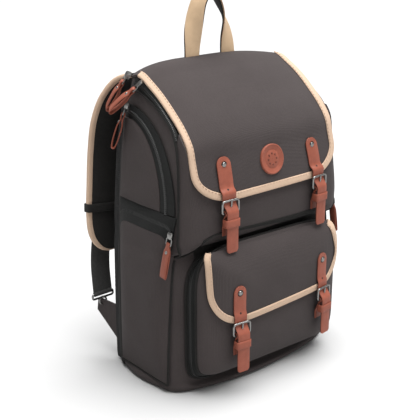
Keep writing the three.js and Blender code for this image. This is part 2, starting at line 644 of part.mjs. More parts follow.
const pocketSide = pocketFlapRows.slice(1, -1).reverse();
const pocketEdge = [
  ...pocketSide.map((z) => [-pocketFlapHalf(z), z]),
  ...POCKET_FLAP_SHARES.map((u) => [u * pocketFlapHalf(POCKET_FLAP.low), POCKET_FLAP.low]),
  ...pocketSide.map((z) => [pocketFlapHalf(z), z]).reverse(),
];
const pocketFlapY = (x, z) => pocketDome(POCKET_FLAP_LIE.power, x, z) - pocketFlapLift;
const pocketFlapFace = (x, z) => v3(x, pocketFlapY(x, z), z);
const tapeLow = GAP;
const tapeHigh = GAP + TAPE * 1.5;
const tapeOut = 1;
const flatTape = [
  [-TAPE_REACH, tapeLow], [tapeOut, tapeLow], [tapeOut, tapeHigh], [-TAPE_REACH, tapeHigh],
];
const pocketTape = tube(
  edgeFrames(pocketFlapFace, pocketEdge).map(({ p, up, out }) =>
    flatTape.map(([o, u]) => p.clone().addScaledVector(out, o).addScaledVector(up, u)),
  ),
);
add('pocket_binding', pocketTape, materials.beige);

// Side panels: the lower pocket, its sloping zip, the arched zip band and the door under it
const pocketDeep = SIDE_POCKET.back - SIDE_POCKET.front;
const pocketTop = (y) => {
  const mid = (SIDE_POCKET.front + SIDE_POCKET.back) / 2;
  return SIDE_POCKET.high - SIDE_POCKET.arch * ((y - mid) / (SIDE_POCKET.back - mid)) ** SWELL.edge;
};
const pocketBulge = (y, up) => {
  const share = (2 * (y - SIDE_POCKET.front)) / pocketDeep - 1;
  const mouth = lerp(1, SWELL.mouth, smoothstep(up, SWELL.mouthFrom, 1));
  return SIDE_POCKET.bulge * (1 - share ** SWELL.edge) * (1 - (1 - up) ** SWELL.foot) * mouth;
};
const doorBack = (z) => Math.min(DOOR.back, bodyMid(z) + SIDE_LIMIT * bodyDeep(z));
const doorArch = (z, grow) => {
  const tall = DOOR.tall + grow * ZIP_BAND.tall;
  const wide = DOOR.deep + grow * ZIP_BAND.deep;
  const arch = DOOR.back - wide * Math.sqrt(Math.max(1 - ((z - DOOR.low) / tall) ** 2, 0));
  return clamp(arch, bodyMid(z) - SIDE_LIMIT * bodyDeep(z), doorBack(z));
};

for (const [name, side] of [['left', -1], ['right', 1]]) {
  const onSide = (y, z, lift) => v3(side * (sideX(y, z) + lift), y, z);
  const pocketYs = POCKET_SHARES.map((t) => lerp(SIDE_POCKET.front, SIDE_POCKET.back, (t + 1) / 2));
  const pocketFace = (lift) => (y, up) => {
    const leant = y + (SIDE_POCKET.lean * (1 - up) * (SIDE_POCKET.back - y)) / pocketDeep;
    return onSide(leant, lerp(SIDE_POCKET.low, pocketTop(y), up), pocketBulge(y, up) + lift);
  };
  add(
    `side_pocket_${name}`,
    trimmed(sheet(pocketYs, POCKET_UPS, pocketFace(CLOTH + GAP), pocketFace(-GAP)), [bodyRoom]),
    materials.canvas,
  );

  const zipFace = (lift) => (y, rise) => {
    const z = lerp(pocketTop(y) + GAP, SIDE_ZIP_TOP, rise);
    return onSide(y, z, pocketBulge(y, 1) * (1 - rise) + lift);
  };
  add(
    `side_pocket_zip_${name}`,
    trimmed(sheet(pocketYs, [0, 1], zipFace(CLOTH + GAP), zipFace(-GAP)), [bodyRoom]),
    materials.zip,
  );

  const archRows = (low, high) => steps(9).map((t) => lerp(low, high, Math.sin((t * Math.PI) / 2)));
  const bandFace = (lift) => (u, t) => {
    const z = lerp(DOOR.low + DOOR.foot, DOOR.low + DOOR.tall - ZIP_BAND.head, t);
    const outerZ = DOOR.low + ((z - DOOR.low) * (DOOR.tall + ZIP_BAND.tall)) / DOOR.tall;
    const y = lerp(doorArch(outerZ, 1), doorArch(z, 0) - GAP, u);
    return onSide(y, lerp(outerZ, z, u), lift);
  };
  add(
    `side_zip_${name}`,
    trimmed(sheet([0, 1], archRows(0, 1), bandFace(CLOTH), bandFace(-CLOTH)), [bodyRoom]),
    materials.zip,
  );

  const doorFace = (outer) => (u, z) => {
    const y = lerp(doorArch(z, 0) + GAP * 2, doorBack(z), u);
    const swell = DOOR.bulge * (1 - (2 * u - 1) ** SWELL.edge);
    return onSide(y, z, outer ? CLOTH + GAP + swell : -CLOTH);
  };
  const doorRows = archRows(DOOR.low + DOOR.foot, DOOR.low + DOOR.tall - DOOR.head);
  add(
    `side_door_${name}`,
    trimmed(sheet(DOOR_SHARES, doorRows, doorFace(true), doorFace(false)), [bodyRoom]),
    materials.canvas,
  );
}

// One buckled closure: a strap riveted to a flap, run through a buckle that a chape holds to the bag.
// flapY and seatY give the surface of the flap and of what the chape is sewn to.
function closure(level, side, x, edgeZ, flapY, seatY, flapCloth, seatCloth) {
  const name = `${level}_${side}`;
  const edgeY = flapY(x, edgeZ);
  const group = new THREE.Group();
  group.position.set(x, edgeY, edgeZ);
  group.rotation.z = Math.atan(flapY(x + 0.5, edgeZ) - flapY(x - 0.5, edgeZ));
  group.updateMatrix();
  rucksack.add(group);
  const local = (z, y) => v3(0, y, z);
  const onFlap = (up) => {
    const overTape = TAPE * smoothstep(TAPE_STEP.high - up, 0, TAPE_STEP.long);
    return local(up, flapY(x, edgeZ + up) - edgeY - GAP - LEATHER / 2 - overTape);
  };
  const path = [
    ...steps(4, STRAP_RISE[level], STRAP_LEAVES).map(onFlap),
    ...STRAP_ROWS.map((row) => local(row.z, row.y)),
  ];
  const round = (share, by) => Math.sqrt(1 - by * (1 - Math.min(share, 1)) ** 2);
  const outline = (v) =>
    lerp(1, STRAP_TAIL[level], smoothstep(v, STRAP_TAIL.from, STRAP_TAIL.to)) *
    round(v / STRAP_END.top, STRAP_ROUND.top) *
    round((1 - v) / STRAP_END.tail, STRAP_ROUND.tail);
  const strapAt = [
    ...STRAP_END_STEPS.map((t) => t * STRAP_END.top),
    ...steps(11, STRAP_END.top, 1 - STRAP_END.tail),
    ...STRAP_END_STEPS.map((t) => 1 - t * STRAP_END.tail).reverse(),
  ];
  const strap = ribbon(path, STRAP_HALF[level], LEATHER, strapAt, outline);
  const slot = PRONG_SLOT;
  const prongSlot = solid(box(slot.wide, slot.deep, slot.tall, 0, slot.y, slot.z));
  const onCloth = solid(trimmed(strap, flapCloth, group.matrix)).subtract(prongSlot);
  add(`strap_${name}`, geometryOf(onCloth), materials.leather, group);

  const { half, top, heel, bar, corner } = BUCKLE;
  const frame = roundedRect(half, heel, top, corner);
  frame.holes.push(roundedRect(half - bar, heel + bar, top - bar, BUCKLE.inner));
  const heelZ = heel + bar / 2;
  const prongLong = top - heelZ;
  const prong = box(PRONG.wide, PRONG.deep, prongLong, 0, 0, 0)
    .rotateX(PRONG.lean)
    .translate(0, BUCKLE.y + PRONG.y, heelZ + prongLong / 2 - PRONG.sunk);
  const buckle = joined(plate(frame, BUCKLE.deep).translate(0, BUCKLE.y, 0), prong);
  add(`buckle_${name}`, buckle, materials.metal, group);

  const seatedY = seatY(x, edgeZ + CHAPE_SEAT) - edgeY - GAP - LEATHER / 2;
  const chapePath = [
    ...CHAPE_ROWS.map((row) => local(heelZ + row.z, BUCKLE.y + row.y)),
    ...[CHAPE_SEAT, ...CHAPE_LOW].map((z) => local(z, seatedY)),
  ];
  const chape = trimmed(ribbon(chapePath, CHAPE_HALF, LEATHER, steps(6)), seatCloth, group.matrix);
  const sleeve = new THREE.CylinderGeometry(SLEEVE_R, SLEEVE_R, CHAPE_HALF * 2, 8)
    .rotateZ(Math.PI / 2)
    .translate(0, BUCKLE.y, heelZ);
  const barRoom = box(half * 4, BUCKLE.deep + GAP * 2, bar + GAP * 2, 0, BUCKLE.y, heelZ);
  const room = PRONG_ROOM;
  const prongRoom = box(room.wide, room.side, room.side, 0, BUCKLE.y + room.y, heelZ + room.z);
  const keeperMid = (KEEPER.front + KEEPER.back) / 2;
  const keeperDeep = KEEPER.back - KEEPER.front;
  const keeperSize = (inset) => [(KEEPER.half - inset) * 2, keeperDeep - inset * 2];
  const keeper = trimmed(box(...keeperSize(0), KEEPER.tall, 0, keeperMid, KEEPER.z), [
    box(...keeperSize(KEEPER.wall), KEEPER.tall * 2, 0, keeperMid, KEEPER.z),
  ]);
  const loop = trimmed(joined(chape, sleeve), [barRoom, prongRoom]);
  add(`chape_${name}`, joined(loop, keeper), materials.leather, group);
}

const flapFront = new Map();
function flapFrontY(x, z) {
  if (!flapFront.has(x)) {
    const rows = steps(60, 1, FLAP_FRONT).map((along) => flapPoint(x, along, 0));
    flapFront.set(x, between(rows, 'z', 'y'));
  }
  return flapFront.get(x)(z);
}
for (const [side, sign] of [['left', -1], ['right', 1]]) {
  const upperX = sign * CLOSURE_X.upper;
  const lowerX = sign * CLOSURE_X.lower;
  const flapLowZ = flapPoint(upperX, 1, 0).z;
  closure('upper', side, upperX, flapLowZ, flapFrontY, frontY, [flapRoom], [bodyRoom]);
  closure('lower', side, lowerX, POCKET_FLAP.low, pocketFlapY, pocketY, [pocketFlapRoom], [panelRoom]);
}

// Round leather badge lying on the flap, with a raised rim
const badgeAlong = flapAt((p) => p.y < 0 && p.z < BADGE.z);
const badgeRing = (r, lift) =>
  steps(16).slice(1).map((turn) => {
    const angle = turn * Math.PI * 2;
    return flapPoint(r * Math.cos(angle), badgeAlong - (r * Math.sin(angle)) / flapLength, lift);
  });
const badgeInner = BADGE.r - BADGE.rim;
const badge = tube([
  badgeRing(badgeInner, -GAP),
  badgeRing(BADGE.r, -GAP),
  badgeRing(BADGE.r, BADGE.thick + BADGE.rimHigh),
  badgeRing(badgeInner, BADGE.thick + BADGE.rimHigh),
  badgeRing(badgeInner, BADGE.thick),
]);
add('badge', trimmed(badge, [flapRoom]), materials.leather);

// Zip pulls: the leather loop hangs from a wire link on the slider
function pullLoop() {
  const around = steps(14).slice(1).map((turn) => {
    const angle = turn * Math.PI * 2;
    const down = (1 - Math.cos(angle)) / 2;
    const pinch = 1 - PULL_PINCH.by * Math.exp(-(((down - PULL_PINCH.at) / PULL_PINCH.long) ** 2));
    const spread = smoothstep(down, PULL_SPREAD.from, PULL_SPREAD.to);
    const open = lerp(PULL.top, PULL.open, spread) * pinch;
    return v3(0, open * signed(Math.sin(angle), PULL.bend), -PULL.long * down);
  });
  const rings = around.map((p, i) => {
    const along = around[(i + 1) % around.length].clone().sub(around.at(i - 1)).normalize();
    const up = v3().crossVectors(along, v3(1, 0, 0));
    const widen = smoothstep(-p.z / PULL.long, PULL_WIDEN.from, PULL_WIDEN.to);
    const half = lerp(PULL.neck, PULL.half, widen);
    return [[-1, -1], [1, -1], [1, 1], [-1, 1]].map(([a, b]) =>
      p.clone().add(v3(a * half, 0, 0)).addScaledVector(up, (b * PULL.strip) / 2),
    );
  });
  return tube(rings, true);
}
function slider(seat) {
  const mid = (LINK.low + LINK.high) / 2;
  const tall = LINK.high - LINK.low;
  const wire = LINK.wire;
  const link = trimmed(box(LINK.half * 2, wire, tall, 0, 0, mid), [
    box((LINK.half - wire) * 2, wire * 2, tall - wire * 2, 0, 0, mid),
  ]);
  const sliderMid = (SLIDER.low + SLIDER.high) / 2;
  const front = SLIDER.deep / 2;
  const body = [SLIDER.half * 2, front + seat, SLIDER.high - SLIDER.low];
  return joined(link, box(...body, 0, (front - seat) / 2, sliderMid));
}
for (const row of PULL_ROWS) {
  const up = v3(...row.hang).negate().normalize();
  const face = v3(...row.face).projectOnPlane(up).normalize();
  const group = new THREE.Group();
  group.applyMatrix4(new THREE.Matrix4().makeBasis(v3().crossVectors(face, up), face, up));
  group.position.set(...row.at);
  rucksack.add(group);
  add(`pull_${row.name}`, pullLoop(), materials.leather, group);
  add(`slider_${row.name}`, slider(row.seat), materials.metal, group);
}

// Carry handle: a tan strap over a black lining, its outer face turning from front to up
const handleAlong = flapAt((p) => p.y < HANDLE.y);
const handleLow = flapPoint(HANDLE.foot, handleAlong, 0).z - HANDLE.sunk;
const handleCurve = new THREE.CatmullRomCurve3(
  HANDLE_ROWS.map((row) => v3(row.x, HANDLE.y, handleLow + row.up)),
);
const handleCentre = (v) => handleCurve.getPointAt(clamp(v, 0, 1));
const handleFace = (lift) => (u, v) => {
  const step = 0.01;
  const along = handleCentre(v + step).sub(handleCentre(v - step)).normalize();
  const outward = v3().crossVectors(along, v3(0, 1, 0));
  const turn = smoothstep(Math.sin(Math.PI * v), 0, HANDLE_TURNED);
  const normal = v3(0, -1, 0).lerp(outward, turn).normalize();
  const wide = v3().crossVectors(along, normal).normalize();
  return handleCentre(v).addScaledVector(wide, u * HANDLE.half).addScaledVector(normal, lift);
};
const [footAt, legAt] = HANDLE_ENDS;
const handleAt = [0, footAt, ...steps(14, legAt, 1 - legAt), 1 - footAt, 1];
const handlePiece = (outer, inner) =>
  trimmed(sheet([-1, 1], handleAt, handleFace(outer), handleFace(inner)), [flapRoom]);
add('handle_strap', handlePiece(HANDLE.skin, 0), materials.beige);
add('handle_lining', handlePiece(-GAP, -GAP - HANDLE.lining), materials.black);

// Shoulder straps: pad, binding, elastic loop, webbing, hook and anchor tab
function addPair(name, geometry, material) {
  add(`${name}_right`, geometry, material);
  add(`${name}_left`, mirrored(geometry), material);
}
const place = (row) => v3(-row.x, row.y, row.z);
const centre = new THREE.CatmullRomCurve3(SHOULDER_ROWS.map(place));
const length = centre.getLength();
const strapPoint = (u, v, lift) => {
  const at = clamp(v, 0, 1);
  const along = centre.getTangentAt(at);
  const wide = v3(1, 0, 0).addScaledVector(along, -along.x).normalize();
  const up = v3().crossVectors(wide, along);
  return centre.getPointAt(at).addScaledVector(wide, u).addScaledVector(up, lift);
};
const strapHalf = (v) => {
  const left = clamp((1 - v) * length, 0, SHOULDER.tip);
  return SHOULDER.half * Math.sqrt(1 - (1 - left / SHOULDER.tip) ** SHOULDER.tipPower);
};
const tipAt = 1 - SHOULDER.tip / length;
const strapAt = [
  ...steps(5, STRAP_BEND.from, STRAP_BEND.to),
  ...steps(4, STRAP_BEND.to, tipAt).slice(1),
  ...cornerSteps(4).map((t) => lerp(tipAt, SHOULDER.end, t)),
];
const padFace = (lift) => (u, v) => strapPoint(u * strapHalf(v), v, lift);
const padRows = [0, STRAP_BEND.root, ...strapAt];
const pad = sheet(PAD_SHARES, padRows, padFace(SHOULDER.thick / 2), padFace(-SHOULDER.thick / 2));
addPair('shoulder_pad', trimmed(pad, [bodyRoom]), materials.black);

const outline = [
  ...strapAt.map((v) => [-strapHalf(v), v]),
  ...strapAt.map((v) => [strapHalf(v), v]).reverse(),
];
const upAt = (u, v) => strapPoint(u, v, 1).sub(strapPoint(u, v, 0));
const strapEdge = edgeFrames((u, v) => strapPoint(u, v, 0), outline, -1, upAt);
const strapTape = binding(strapEdge, SHOULDER.thick, SHOULDER.reach);
addPair('shoulder_binding', strapTape, materials.beige);

const bandRing = (grow, at) => {
  const half = SHOULDER.half + TAPE + GAP * 3 + grow;
  const thick = SHOULDER.thick / 2 + TAPE + GAP * 3 + grow;
  const corners = [[-half, -thick], [half, -thick], [half, thick], [-half, thick]];
  return corners.map(([u, lift]) => strapPoint(u, at, lift));
};
const bandLow = ELASTIC.at + ELASTIC.tall / length;
const band = [[0, ELASTIC.at], [ELASTIC.thick, ELASTIC.at], [ELASTIC.thick, bandLow], [0, bandLow]];
addPair('elastic_loop', tube(band.map(([grow, at]) => bandRing(grow, at)), true), materials.black);

const foot = place(WEBBING_ROWS.at(-1));
const sleeve = new THREE.CylinderGeometry(HOOK.sleeve, HOOK.sleeve, WEBBING.half * 2, 10)
  .rotateZ(Math.PI / 2)
  .translate(foot.x, foot.y, foot.z);
const barSide = HOOK.wire * 2 + GAP * 2;
const barRoom = box(WEBBING.half * 4, barSide, barSide, foot.x, foot.y, foot.z);
const webbing = joined(ribbon(WEBBING_ROWS.map(place), WEBBING.half, WEBBING.thick, steps(7)), sleeve);
addPair('webbing', trimmed(webbing, [barRoom]), materials.black);

const wire = HOOK.wire;
const ring = roundedRect(HOOK.half, -HOOK.tall, 0, HOOK.corner);
ring.holes.push(
  roundedRect(HOOK.half - wire * 2, wire * 2 - HOOK.tall, -wire * 2, HOOK.innerCorner),
);
const eye = new THREE.TorusGeometry(HOOK.eye, wire, 4, 8)
  .rotateX(Math.PI / 2)
  .translate(0, 0, -HOOK.tall - HOOK.eye);
const hook = joined(plate(ring, wire * 2), eye).translate(foot.x, foot.y, foot.z + wire);
addPair('strap_hook', hook, materials.metal);

const eyeZ = foot.z + wire - HOOK.tall - HOOK.eye * 2;
const reach = foot.y - TAB.y;
const tab = new THREE.Shape();
tab.moveTo(0, TAB.low);
tab.lineTo(reach + TAB.tip, eyeZ - TAB.tipHalf);
tab.lineTo(reach + TAB.tip, eyeZ + TAB.tipHalf);
tab.lineTo(0, TAB.high);
tab.holes.push(new THREE.Path().absarc(reach, eyeZ, TAB.hole, 0, Math.PI * 2));
const root = place({ x: TAB.x, y: TAB.y, z: 0 });
const swing = Math.atan2(root.x - foot.x, reach);
const tabPlate = plate(tab, TAB.thick)
  .rotateZ(Math.PI / 2 + swing)
  .translate(root.x, root.y, root.z);
addPair('strap_tab', trimmed(tabPlate, [bodyRoom]), materials.canvas);

export default rucksack;
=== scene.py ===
import math
import bpy
import bmesh
import numpy as np
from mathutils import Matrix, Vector


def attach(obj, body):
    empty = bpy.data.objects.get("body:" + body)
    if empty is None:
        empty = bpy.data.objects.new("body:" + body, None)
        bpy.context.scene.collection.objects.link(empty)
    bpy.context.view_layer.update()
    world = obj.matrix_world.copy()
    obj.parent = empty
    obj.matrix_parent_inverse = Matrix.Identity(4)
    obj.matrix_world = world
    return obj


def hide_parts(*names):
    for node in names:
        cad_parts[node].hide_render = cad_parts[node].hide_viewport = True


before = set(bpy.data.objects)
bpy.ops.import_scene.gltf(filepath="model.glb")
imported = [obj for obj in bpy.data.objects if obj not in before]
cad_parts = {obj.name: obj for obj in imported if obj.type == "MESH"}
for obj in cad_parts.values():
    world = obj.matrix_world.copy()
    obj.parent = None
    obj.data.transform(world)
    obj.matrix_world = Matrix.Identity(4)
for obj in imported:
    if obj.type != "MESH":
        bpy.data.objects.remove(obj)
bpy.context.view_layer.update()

# Camera. A long lens a little above the bag, looking at its front and its left side.
azimuth = math.radians(-40.68)
elevation = math.radians(19.32)
back = Vector((
    math.sin(azimuth) * math.cos(elevation),
    -math.cos(azimuth) * math.cos(elevation),
    math.sin(elevation),
))
aim = Vector((math.cos(azimuth), math.sin(azimuth), 0)) * -0.02544 + Vector((0, 0, 0.21654))
lens = bpy.data.cameras.new("camera")
lens.lens = 78.06
lens.sensor_width = 36
camera = bpy.data.objects.new("camera", lens)
camera.location = aim + back * 1.29433
camera.rotation_euler = back.to_track_quat("Z", "Y").to_euler()
bpy.context.collection.objects.link(camera)
bpy.context.scene.camera = camera

# Studio. A plain pale floor under a pale sky, with a wide soft light straight above,
# a softbox over the back of the bag and a weak one low in front.
bpy.context.scene.view_settings.view_transform = "Standard"
sky = bpy.data.worlds.new("sky")
sky.use_nodes = True
sky.node_tree.nodes["Background"].inputs["Color"].default_value = (1, 1, 1, 1)
sky.node_tree.nodes["Background"].inputs["Strength"].default_value = 0.34
bpy.context.scene.world = sky
ground = bpy.data.meshes.new("floor")
ground.from_pydata([(-60, -60, 0), (60, -60, 0), (60, 60, 0), (-60, 60, 0)], [], [(0, 1, 2, 3)])
floor = bpy.data.objects.new("floor", ground)
bpy.context.collection.objects.link(floor)


def plain_finish(name, colour, roughness):
    """An even finish, for a thing too small or too plain to show a grain."""
    material = bpy.data.materials.new(name)
    material.use_nodes = True
    shader = material.node_tree.nodes["Principled BSDF"]
    shader.inputs["Base Color"].default_value = (*colour, 1)
    shader.inputs["Roughness"].default_value = roughness
    return material


ground.materials.append(plain_finish("floor_paper", (0.475, 0.475, 0.475), 0.9))
overhead = bpy.data.lights.new("overhead", "SUN")
overhead.energy = 6.2
overhead.angle = math.radians(55)
softbox = bpy.data.lights.new("softbox", "AREA")
softbox.energy = 10
softbox.size = 1.2
front_box = bpy.data.lights.new("front_box", "AREA")
front_box.energy = 3.5
front_box.size = 0.8
lamp_places = ((overhead, (0.15, -0.12, 1.25)), (softbox, (-0.15, 0.5, 2.0)), (front_box, (-0.2, -1.7, 0.45)))
for light, place in lamp_places:
    lamp = bpy.data.objects.new(light.name, light)
    lamp.location = place
    lamp.rotation_euler = (Vector(place) - Vector((0, 0, 0.25))).to_track_quat("Z", "Y").to_euler()
    bpy.context.collection.objects.link(lamp)

# Main body. A padded tub of grey canvas, its panels sewn together and turned right side out,
# open at the top below the flap. Black bands cover its waist and its back corners, and black piping
# runs in its seams; its base stands out a little below the front pocket.
gap = 0.4
wall = 4.0
cloth_thick = 2.2
body_rows = np.array([  # height, half width, front, back, crown of the front, all in millimetres
    (0, 146, -59, 70, 22), (4, 150, -62, 74, 25), (9, 150.5, -63, 75, 23), (14, 151, -63, 76, 8),
    (40, 151, -63, 76, 8), (120, 150, -63, 75, 8), (190, 149, -62, 73, 8), (203, 148, -60, 72, 8),
    (209, 148, -68, 72, 8), (215, 148, -77, 72, 8), (224, 147.7, -81, 72, 8), (252, 146, -82, 72, 8),
    (275, 144, -80, 72, 8), (320, 140, -78, 71, 8), (370, 134, -78, 66, 8), (440, 125, -78, 54, 8),
], float)
side_power = 9
front_power = 11


def between(rows, column):
    """A smooth value between a table's rows, with no overshoot; the first column rises."""
    at = rows[:, 0]
    value = rows[:, column]
    slope = np.diff(value) / np.diff(at)
    before = np.concatenate([slope[:1], slope])
    after = np.concatenate([slope, slope[-1:]])
    same_way = before * after > 0
    tangent = np.where(same_way, 2 * before * after / np.where(same_way, before + after, 1), 0)

    def read(x):
        x = np.asarray(x, float)
        k = np.clip(np.searchsorted(at, x, side="right") - 1, 0, len(at) - 2)
        wide = at[k + 1] - at[k]
        t = np.clip((x - at[k]) / wide, 0, 1)
        ease = t * t * (3 - 2 * t)
        bend = wide * t * (1 - t) * ((1 - t) * tangent[k] - t * tangent[k + 1])
        return value[k] + (value[k + 1] - value[k]) * ease + bend

    return read


def signed(value, power):
    return np.sign(value) * np.abs(value) ** power


def smooth(value, low, high):
    t = np.clip((value - low) / (high - low), 0, 1)
    return t * t * (3 - 2 * t)


def spaced(line, count):
    """The same line with points at even distances."""
    run = np.concatenate([[0], np.cumsum(np.linalg.norm(np.diff(line[:, :3], axis=0), axis=1))])
    at = np.linspace(0, run[-1], count)
    return np.stack([np.interp(at, run, line[:, k]) for k in range(line.shape[1])], axis=1)


def smooth_path(points, count):
    """A rounded line through the points, with its own points at even distances."""
    points = np.asarray(points, float)
    ends = np.vstack([2 * points[0] - points[1], points, 2 * points[-1] - points[-2]])
    t = np.linspace(0, 1, 40, endpoint=False)[:, None]
    fine = []
    for p0, p1, p2, p3 in zip(ends, ends[1:], ends[2:], ends[3:]):
        d0, d1, d2 = (np.linalg.norm(b - a) ** 0.5 for a, b in ((p0, p1), (p1, p2), (p2, p3)))
        m1 = ((p1 - p0) / d0 - (p2 - p0) / (d0 + d1) + (p2 - p1) / d1) * d1
        m2 = ((p2 - p1) / d1 - (p3 - p1) / (d1 + d2) + (p3 - p2) / d2) * d1
        fine.append(p1 + m1 * t + (3 * p2 - 3 * p1 - 2 * m1 - m2) * t**2 + (2 * p1 - 2 * p2 + m1 + m2) * t**3)
    return spaced(np.vstack([*fine, points[-1:]]), count)


def grid_faces(rows, columns, wrap=False):
    last = columns if wrap else columns - 1
    return [
        (j * columns + i, j * columns + (i + 1) % columns,
         (j + 1) * columns + (i + 1) % columns, (j + 1) * columns + i)
        for j in range(rows - 1) for i in range(last)
    ]


def slab(outer, inner, wrap=False):
    """A closed sheet between two grids of points."""
    rows, columns = outer.shape[:2]
    layer = rows * columns
    top = grid_faces(rows, columns, wrap)
    faces = top + [tuple(layer + i for i in reversed(face)) for face in top]
    round_again = [0] if wrap else []
    rims = [[j * columns + i for i in [*range(columns), *round_again]] for j in (0, rows - 1)]
    if not wrap:
        rims += [[j * columns + i for j in range(rows)] for i in (0, columns - 1)]
    for rim in rims:
        faces += [(a, b, b + layer, a + layer) for a, b in zip(rim, rim[1:])]
    return np.concatenate([outer.reshape(-1, 3), inner.reshape(-1, 3)]), faces


def tube(rings, closed=False):
    """A skin over rings of points, closed at its two ends or joined end to end."""
    count, sides = rings.shape[:2]
    points = rings.reshape(-1, 3)
    faces = grid_faces(count, sides, True)
    if closed:
        low = (count - 1) * sides
        faces += [(low + i, low + (i + 1) % sides, (i + 1) % sides, i) for i in range(sides)]
    else:
        faces += [tuple(reversed(range(sides))), tuple(range((count - 1) * sides, count * sides))]
    return points, faces


def unit(way):
    """The same way, one millimetre long."""
    way = np.asarray(way, float)
    return way / np.linalg.norm(way, axis=-1, keepdims=True)


def heading(path, closed=False):
    """The way along a line at each of its points."""
    if closed:
        return unit(np.roll(path, -1, axis=0) - np.roll(path, 1, axis=0))
    return unit(np.gradient(path, axis=0))


def rod(path, radius, sides=10, closed=False):
    """A round cord or wire along a path."""
    path = np.asarray(path, float)
    along = heading(path, closed)
    side = np.cross(along[0], (0.31, 0.47, 0.83))
    turn = np.linspace(0, 2 * np.pi, sides, endpoint=False)[None, :, None]
    frames = []
    for way in along:
        side = side - way * np.dot(side, way)
        side /= np.linalg.norm(side)
        frames.append((side, np.cross(way, side)))
    frames = np.array(frames)
    ring = np.cos(turn) * frames[:, None, 0] + np.sin(turn) * frames[:, None, 1]
    return tube(path[:, None] + radius * ring, closed)


def normals(points):
    """The way off a grid of points."""
    way = np.cross(np.gradient(points, axis=1), np.gradient(points, axis=0))
    return way / np.maximum(np.linalg.norm(way, axis=-1, keepdims=True), 1e-9)


def ripple(points, wave, depth, seed):
    """Soft uneven waves, for cloth that doesn't lie quite flat."""
    random = np.random.default_rng(seed)
    total = np.zeros(points.shape[:-1])
    for _ in range(7):
        way = random.normal(size=3)
        way *= 2 * np.pi / (np.linalg.norm(way) * wave * random.uniform(0.7, 1.5))
        total += np.sin(points @ way + random.uniform(0, 6.28))
    return (total / 7**0.5 * depth)[..., None]


def piece(name, shape, materials, stands_for=(), which=None):
    """One piece of the bag, drawn in millimetres."""
    points, faces = shape
    mesh = bpy.data.meshes.new(name)
    mesh.from_pydata((points * 0.001).tolist(), [], faces)
    drawn = bmesh.new()
    drawn.from_mesh(mesh)
    bmesh.ops.recalc_face_normals(drawn, faces=drawn.faces)
    drawn.to_mesh(mesh)
    drawn.free()
    mesh.polygons.foreach_set("use_smooth", [True] * len(mesh.polygons))
    mesh.set_sharp_from_angle(angle=math.radians(48))
    for material in materials if isinstance(materials, (list, tuple)) else [materials]:
        mesh.materials.append(material)
    if which is not None:
        mesh.polygons.foreach_set("material_index", which)
    made = bpy.data.objects.new(f"bag_{name}", mesh)
    bpy.context.collection.objects.link(made)
    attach(made, "root")
    if stands_for:
        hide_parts(*([stands_for] if isinstance(stands_for, str) else stands_for))
    return made


def add_node(material, kind, **numbers):
    """A shader node with the given numbers on its sockets."""
    made = material.node_tree.nodes.new(f"ShaderNode{kind}")
    for socket, number in numbers.items():
        made.inputs[socket].default_value = number
    return made


def add_sum(material, kind, *terms):
    """A node that adds or multiplies; a term is a number or another node's output."""
    made = add_node(material, "Math")
    made.operation = kind
    for socket, term in zip(made.inputs, terms):
        if isinstance(term, float):
            socket.default_value = term
        else:
            material.node_tree.links.new(term, socket)
    return made.outputs[0]


def dye_and_grain(material, tone, tone_range, shades, height, strength, depth, **numbers):
    """Colours a material by its tone, from one shade to the other, and raises its grain."""
    link = material.node_tree.links.new
    shader = material.node_tree.nodes["Principled BSDF"]
    ramp = add_node(material, "ValToRGB")
    for stop, position, shade in zip(ramp.color_ramp.elements, tone_range, shades):
        stop.position = position
        stop.color = (*shade, 1)
    link(tone, ramp.inputs["Fac"])
    link(ramp.outputs["Color"], shader.inputs["Base Color"])
    bump = add_node(material, "Bump", Strength=strength, Distance=depth)
    link(height, bump.inputs["Height"])
    link(bump.outputs["Normal"], shader.inputs["Normal"])
    for socket, number in numbers.items():
        shader.inputs[socket].default_value = number


def cloth(name, dark, light, thread, roughness=0.9, sheen=0.05, depth=0.00015, shine=0.15):
    """Woven cloth: crossing threads, flecked yarn and slow fading."""
    material = plain_finish(name, light, roughness)
    place = add_node(material, "TexCoord").outputs["Object"]
    flecks = add_node(material, "TexNoise", Scale=0.55 / thread, Detail=4, Roughness=0.7)
    fading = add_node(material, "TexNoise", Scale=16, Detail=3)
    waves = [add_node(material, "TexWave", Scale=math.pi / (10 * thread), Distortion=0.6) for _ in "XYZ"]
    for texture in (flecks, fading, *waves):
        material.node_tree.links.new(place, texture.inputs["Vector"])
    height = half_fleck = add_sum(material, "MULTIPLY", flecks.outputs["Fac"], 0.55)
    for wave, axis in zip(waves, "XYZ"):
        wave.bands_direction = axis
        height = add_sum(material, "ADD", height, wave.outputs["Fac"])
    tone = add_sum(material, "MULTIPLY_ADD", fading.outputs["Fac"], 0.45, half_fleck)
    dye_and_grain(material, tone, (0.36, 0.64), (dark, light), height, 0.6, depth, **{
        "Sheen Weight": sheen, "Sheen Roughness": 0.5, "Specular IOR Level": shine})
    return material


canvas = cloth("canvas", (0.0445, 0.0365, 0.0358), (0.0542, 0.0447, 0.0438), 0.0011)
black = cloth("black_cloth", (0.014, 0.0133, 0.0127), (0.0225, 0.0215, 0.0203), 0.0012, shine=0.08)
body_half = between(body_rows, 1)
body_front = between(body_rows, 2)
body_back = between(body_rows, 3)
body_crown = between(body_rows, 4)


def body_mid(z):
    return (body_front(z) + body_back(z)) / 2


def body_deep(z):
    return (body_back(z) - body_front(z)) / 2


def front_y(x, z):
    share = np.clip(np.abs(x) / body_half(z), 0, 1)
    corner = (1 - share**side_power) ** (1 / front_power)
    return body_mid(z) - (body_deep(z) + body_crown(z) * (1 - share**2)) * corner


def back_y(x, z):
    share = np.clip(np.abs(x) / body_half(z), 0, 1)
    return body_mid(z) + body_deep(z) * (1 - share**side_power) ** (1 / front_power)


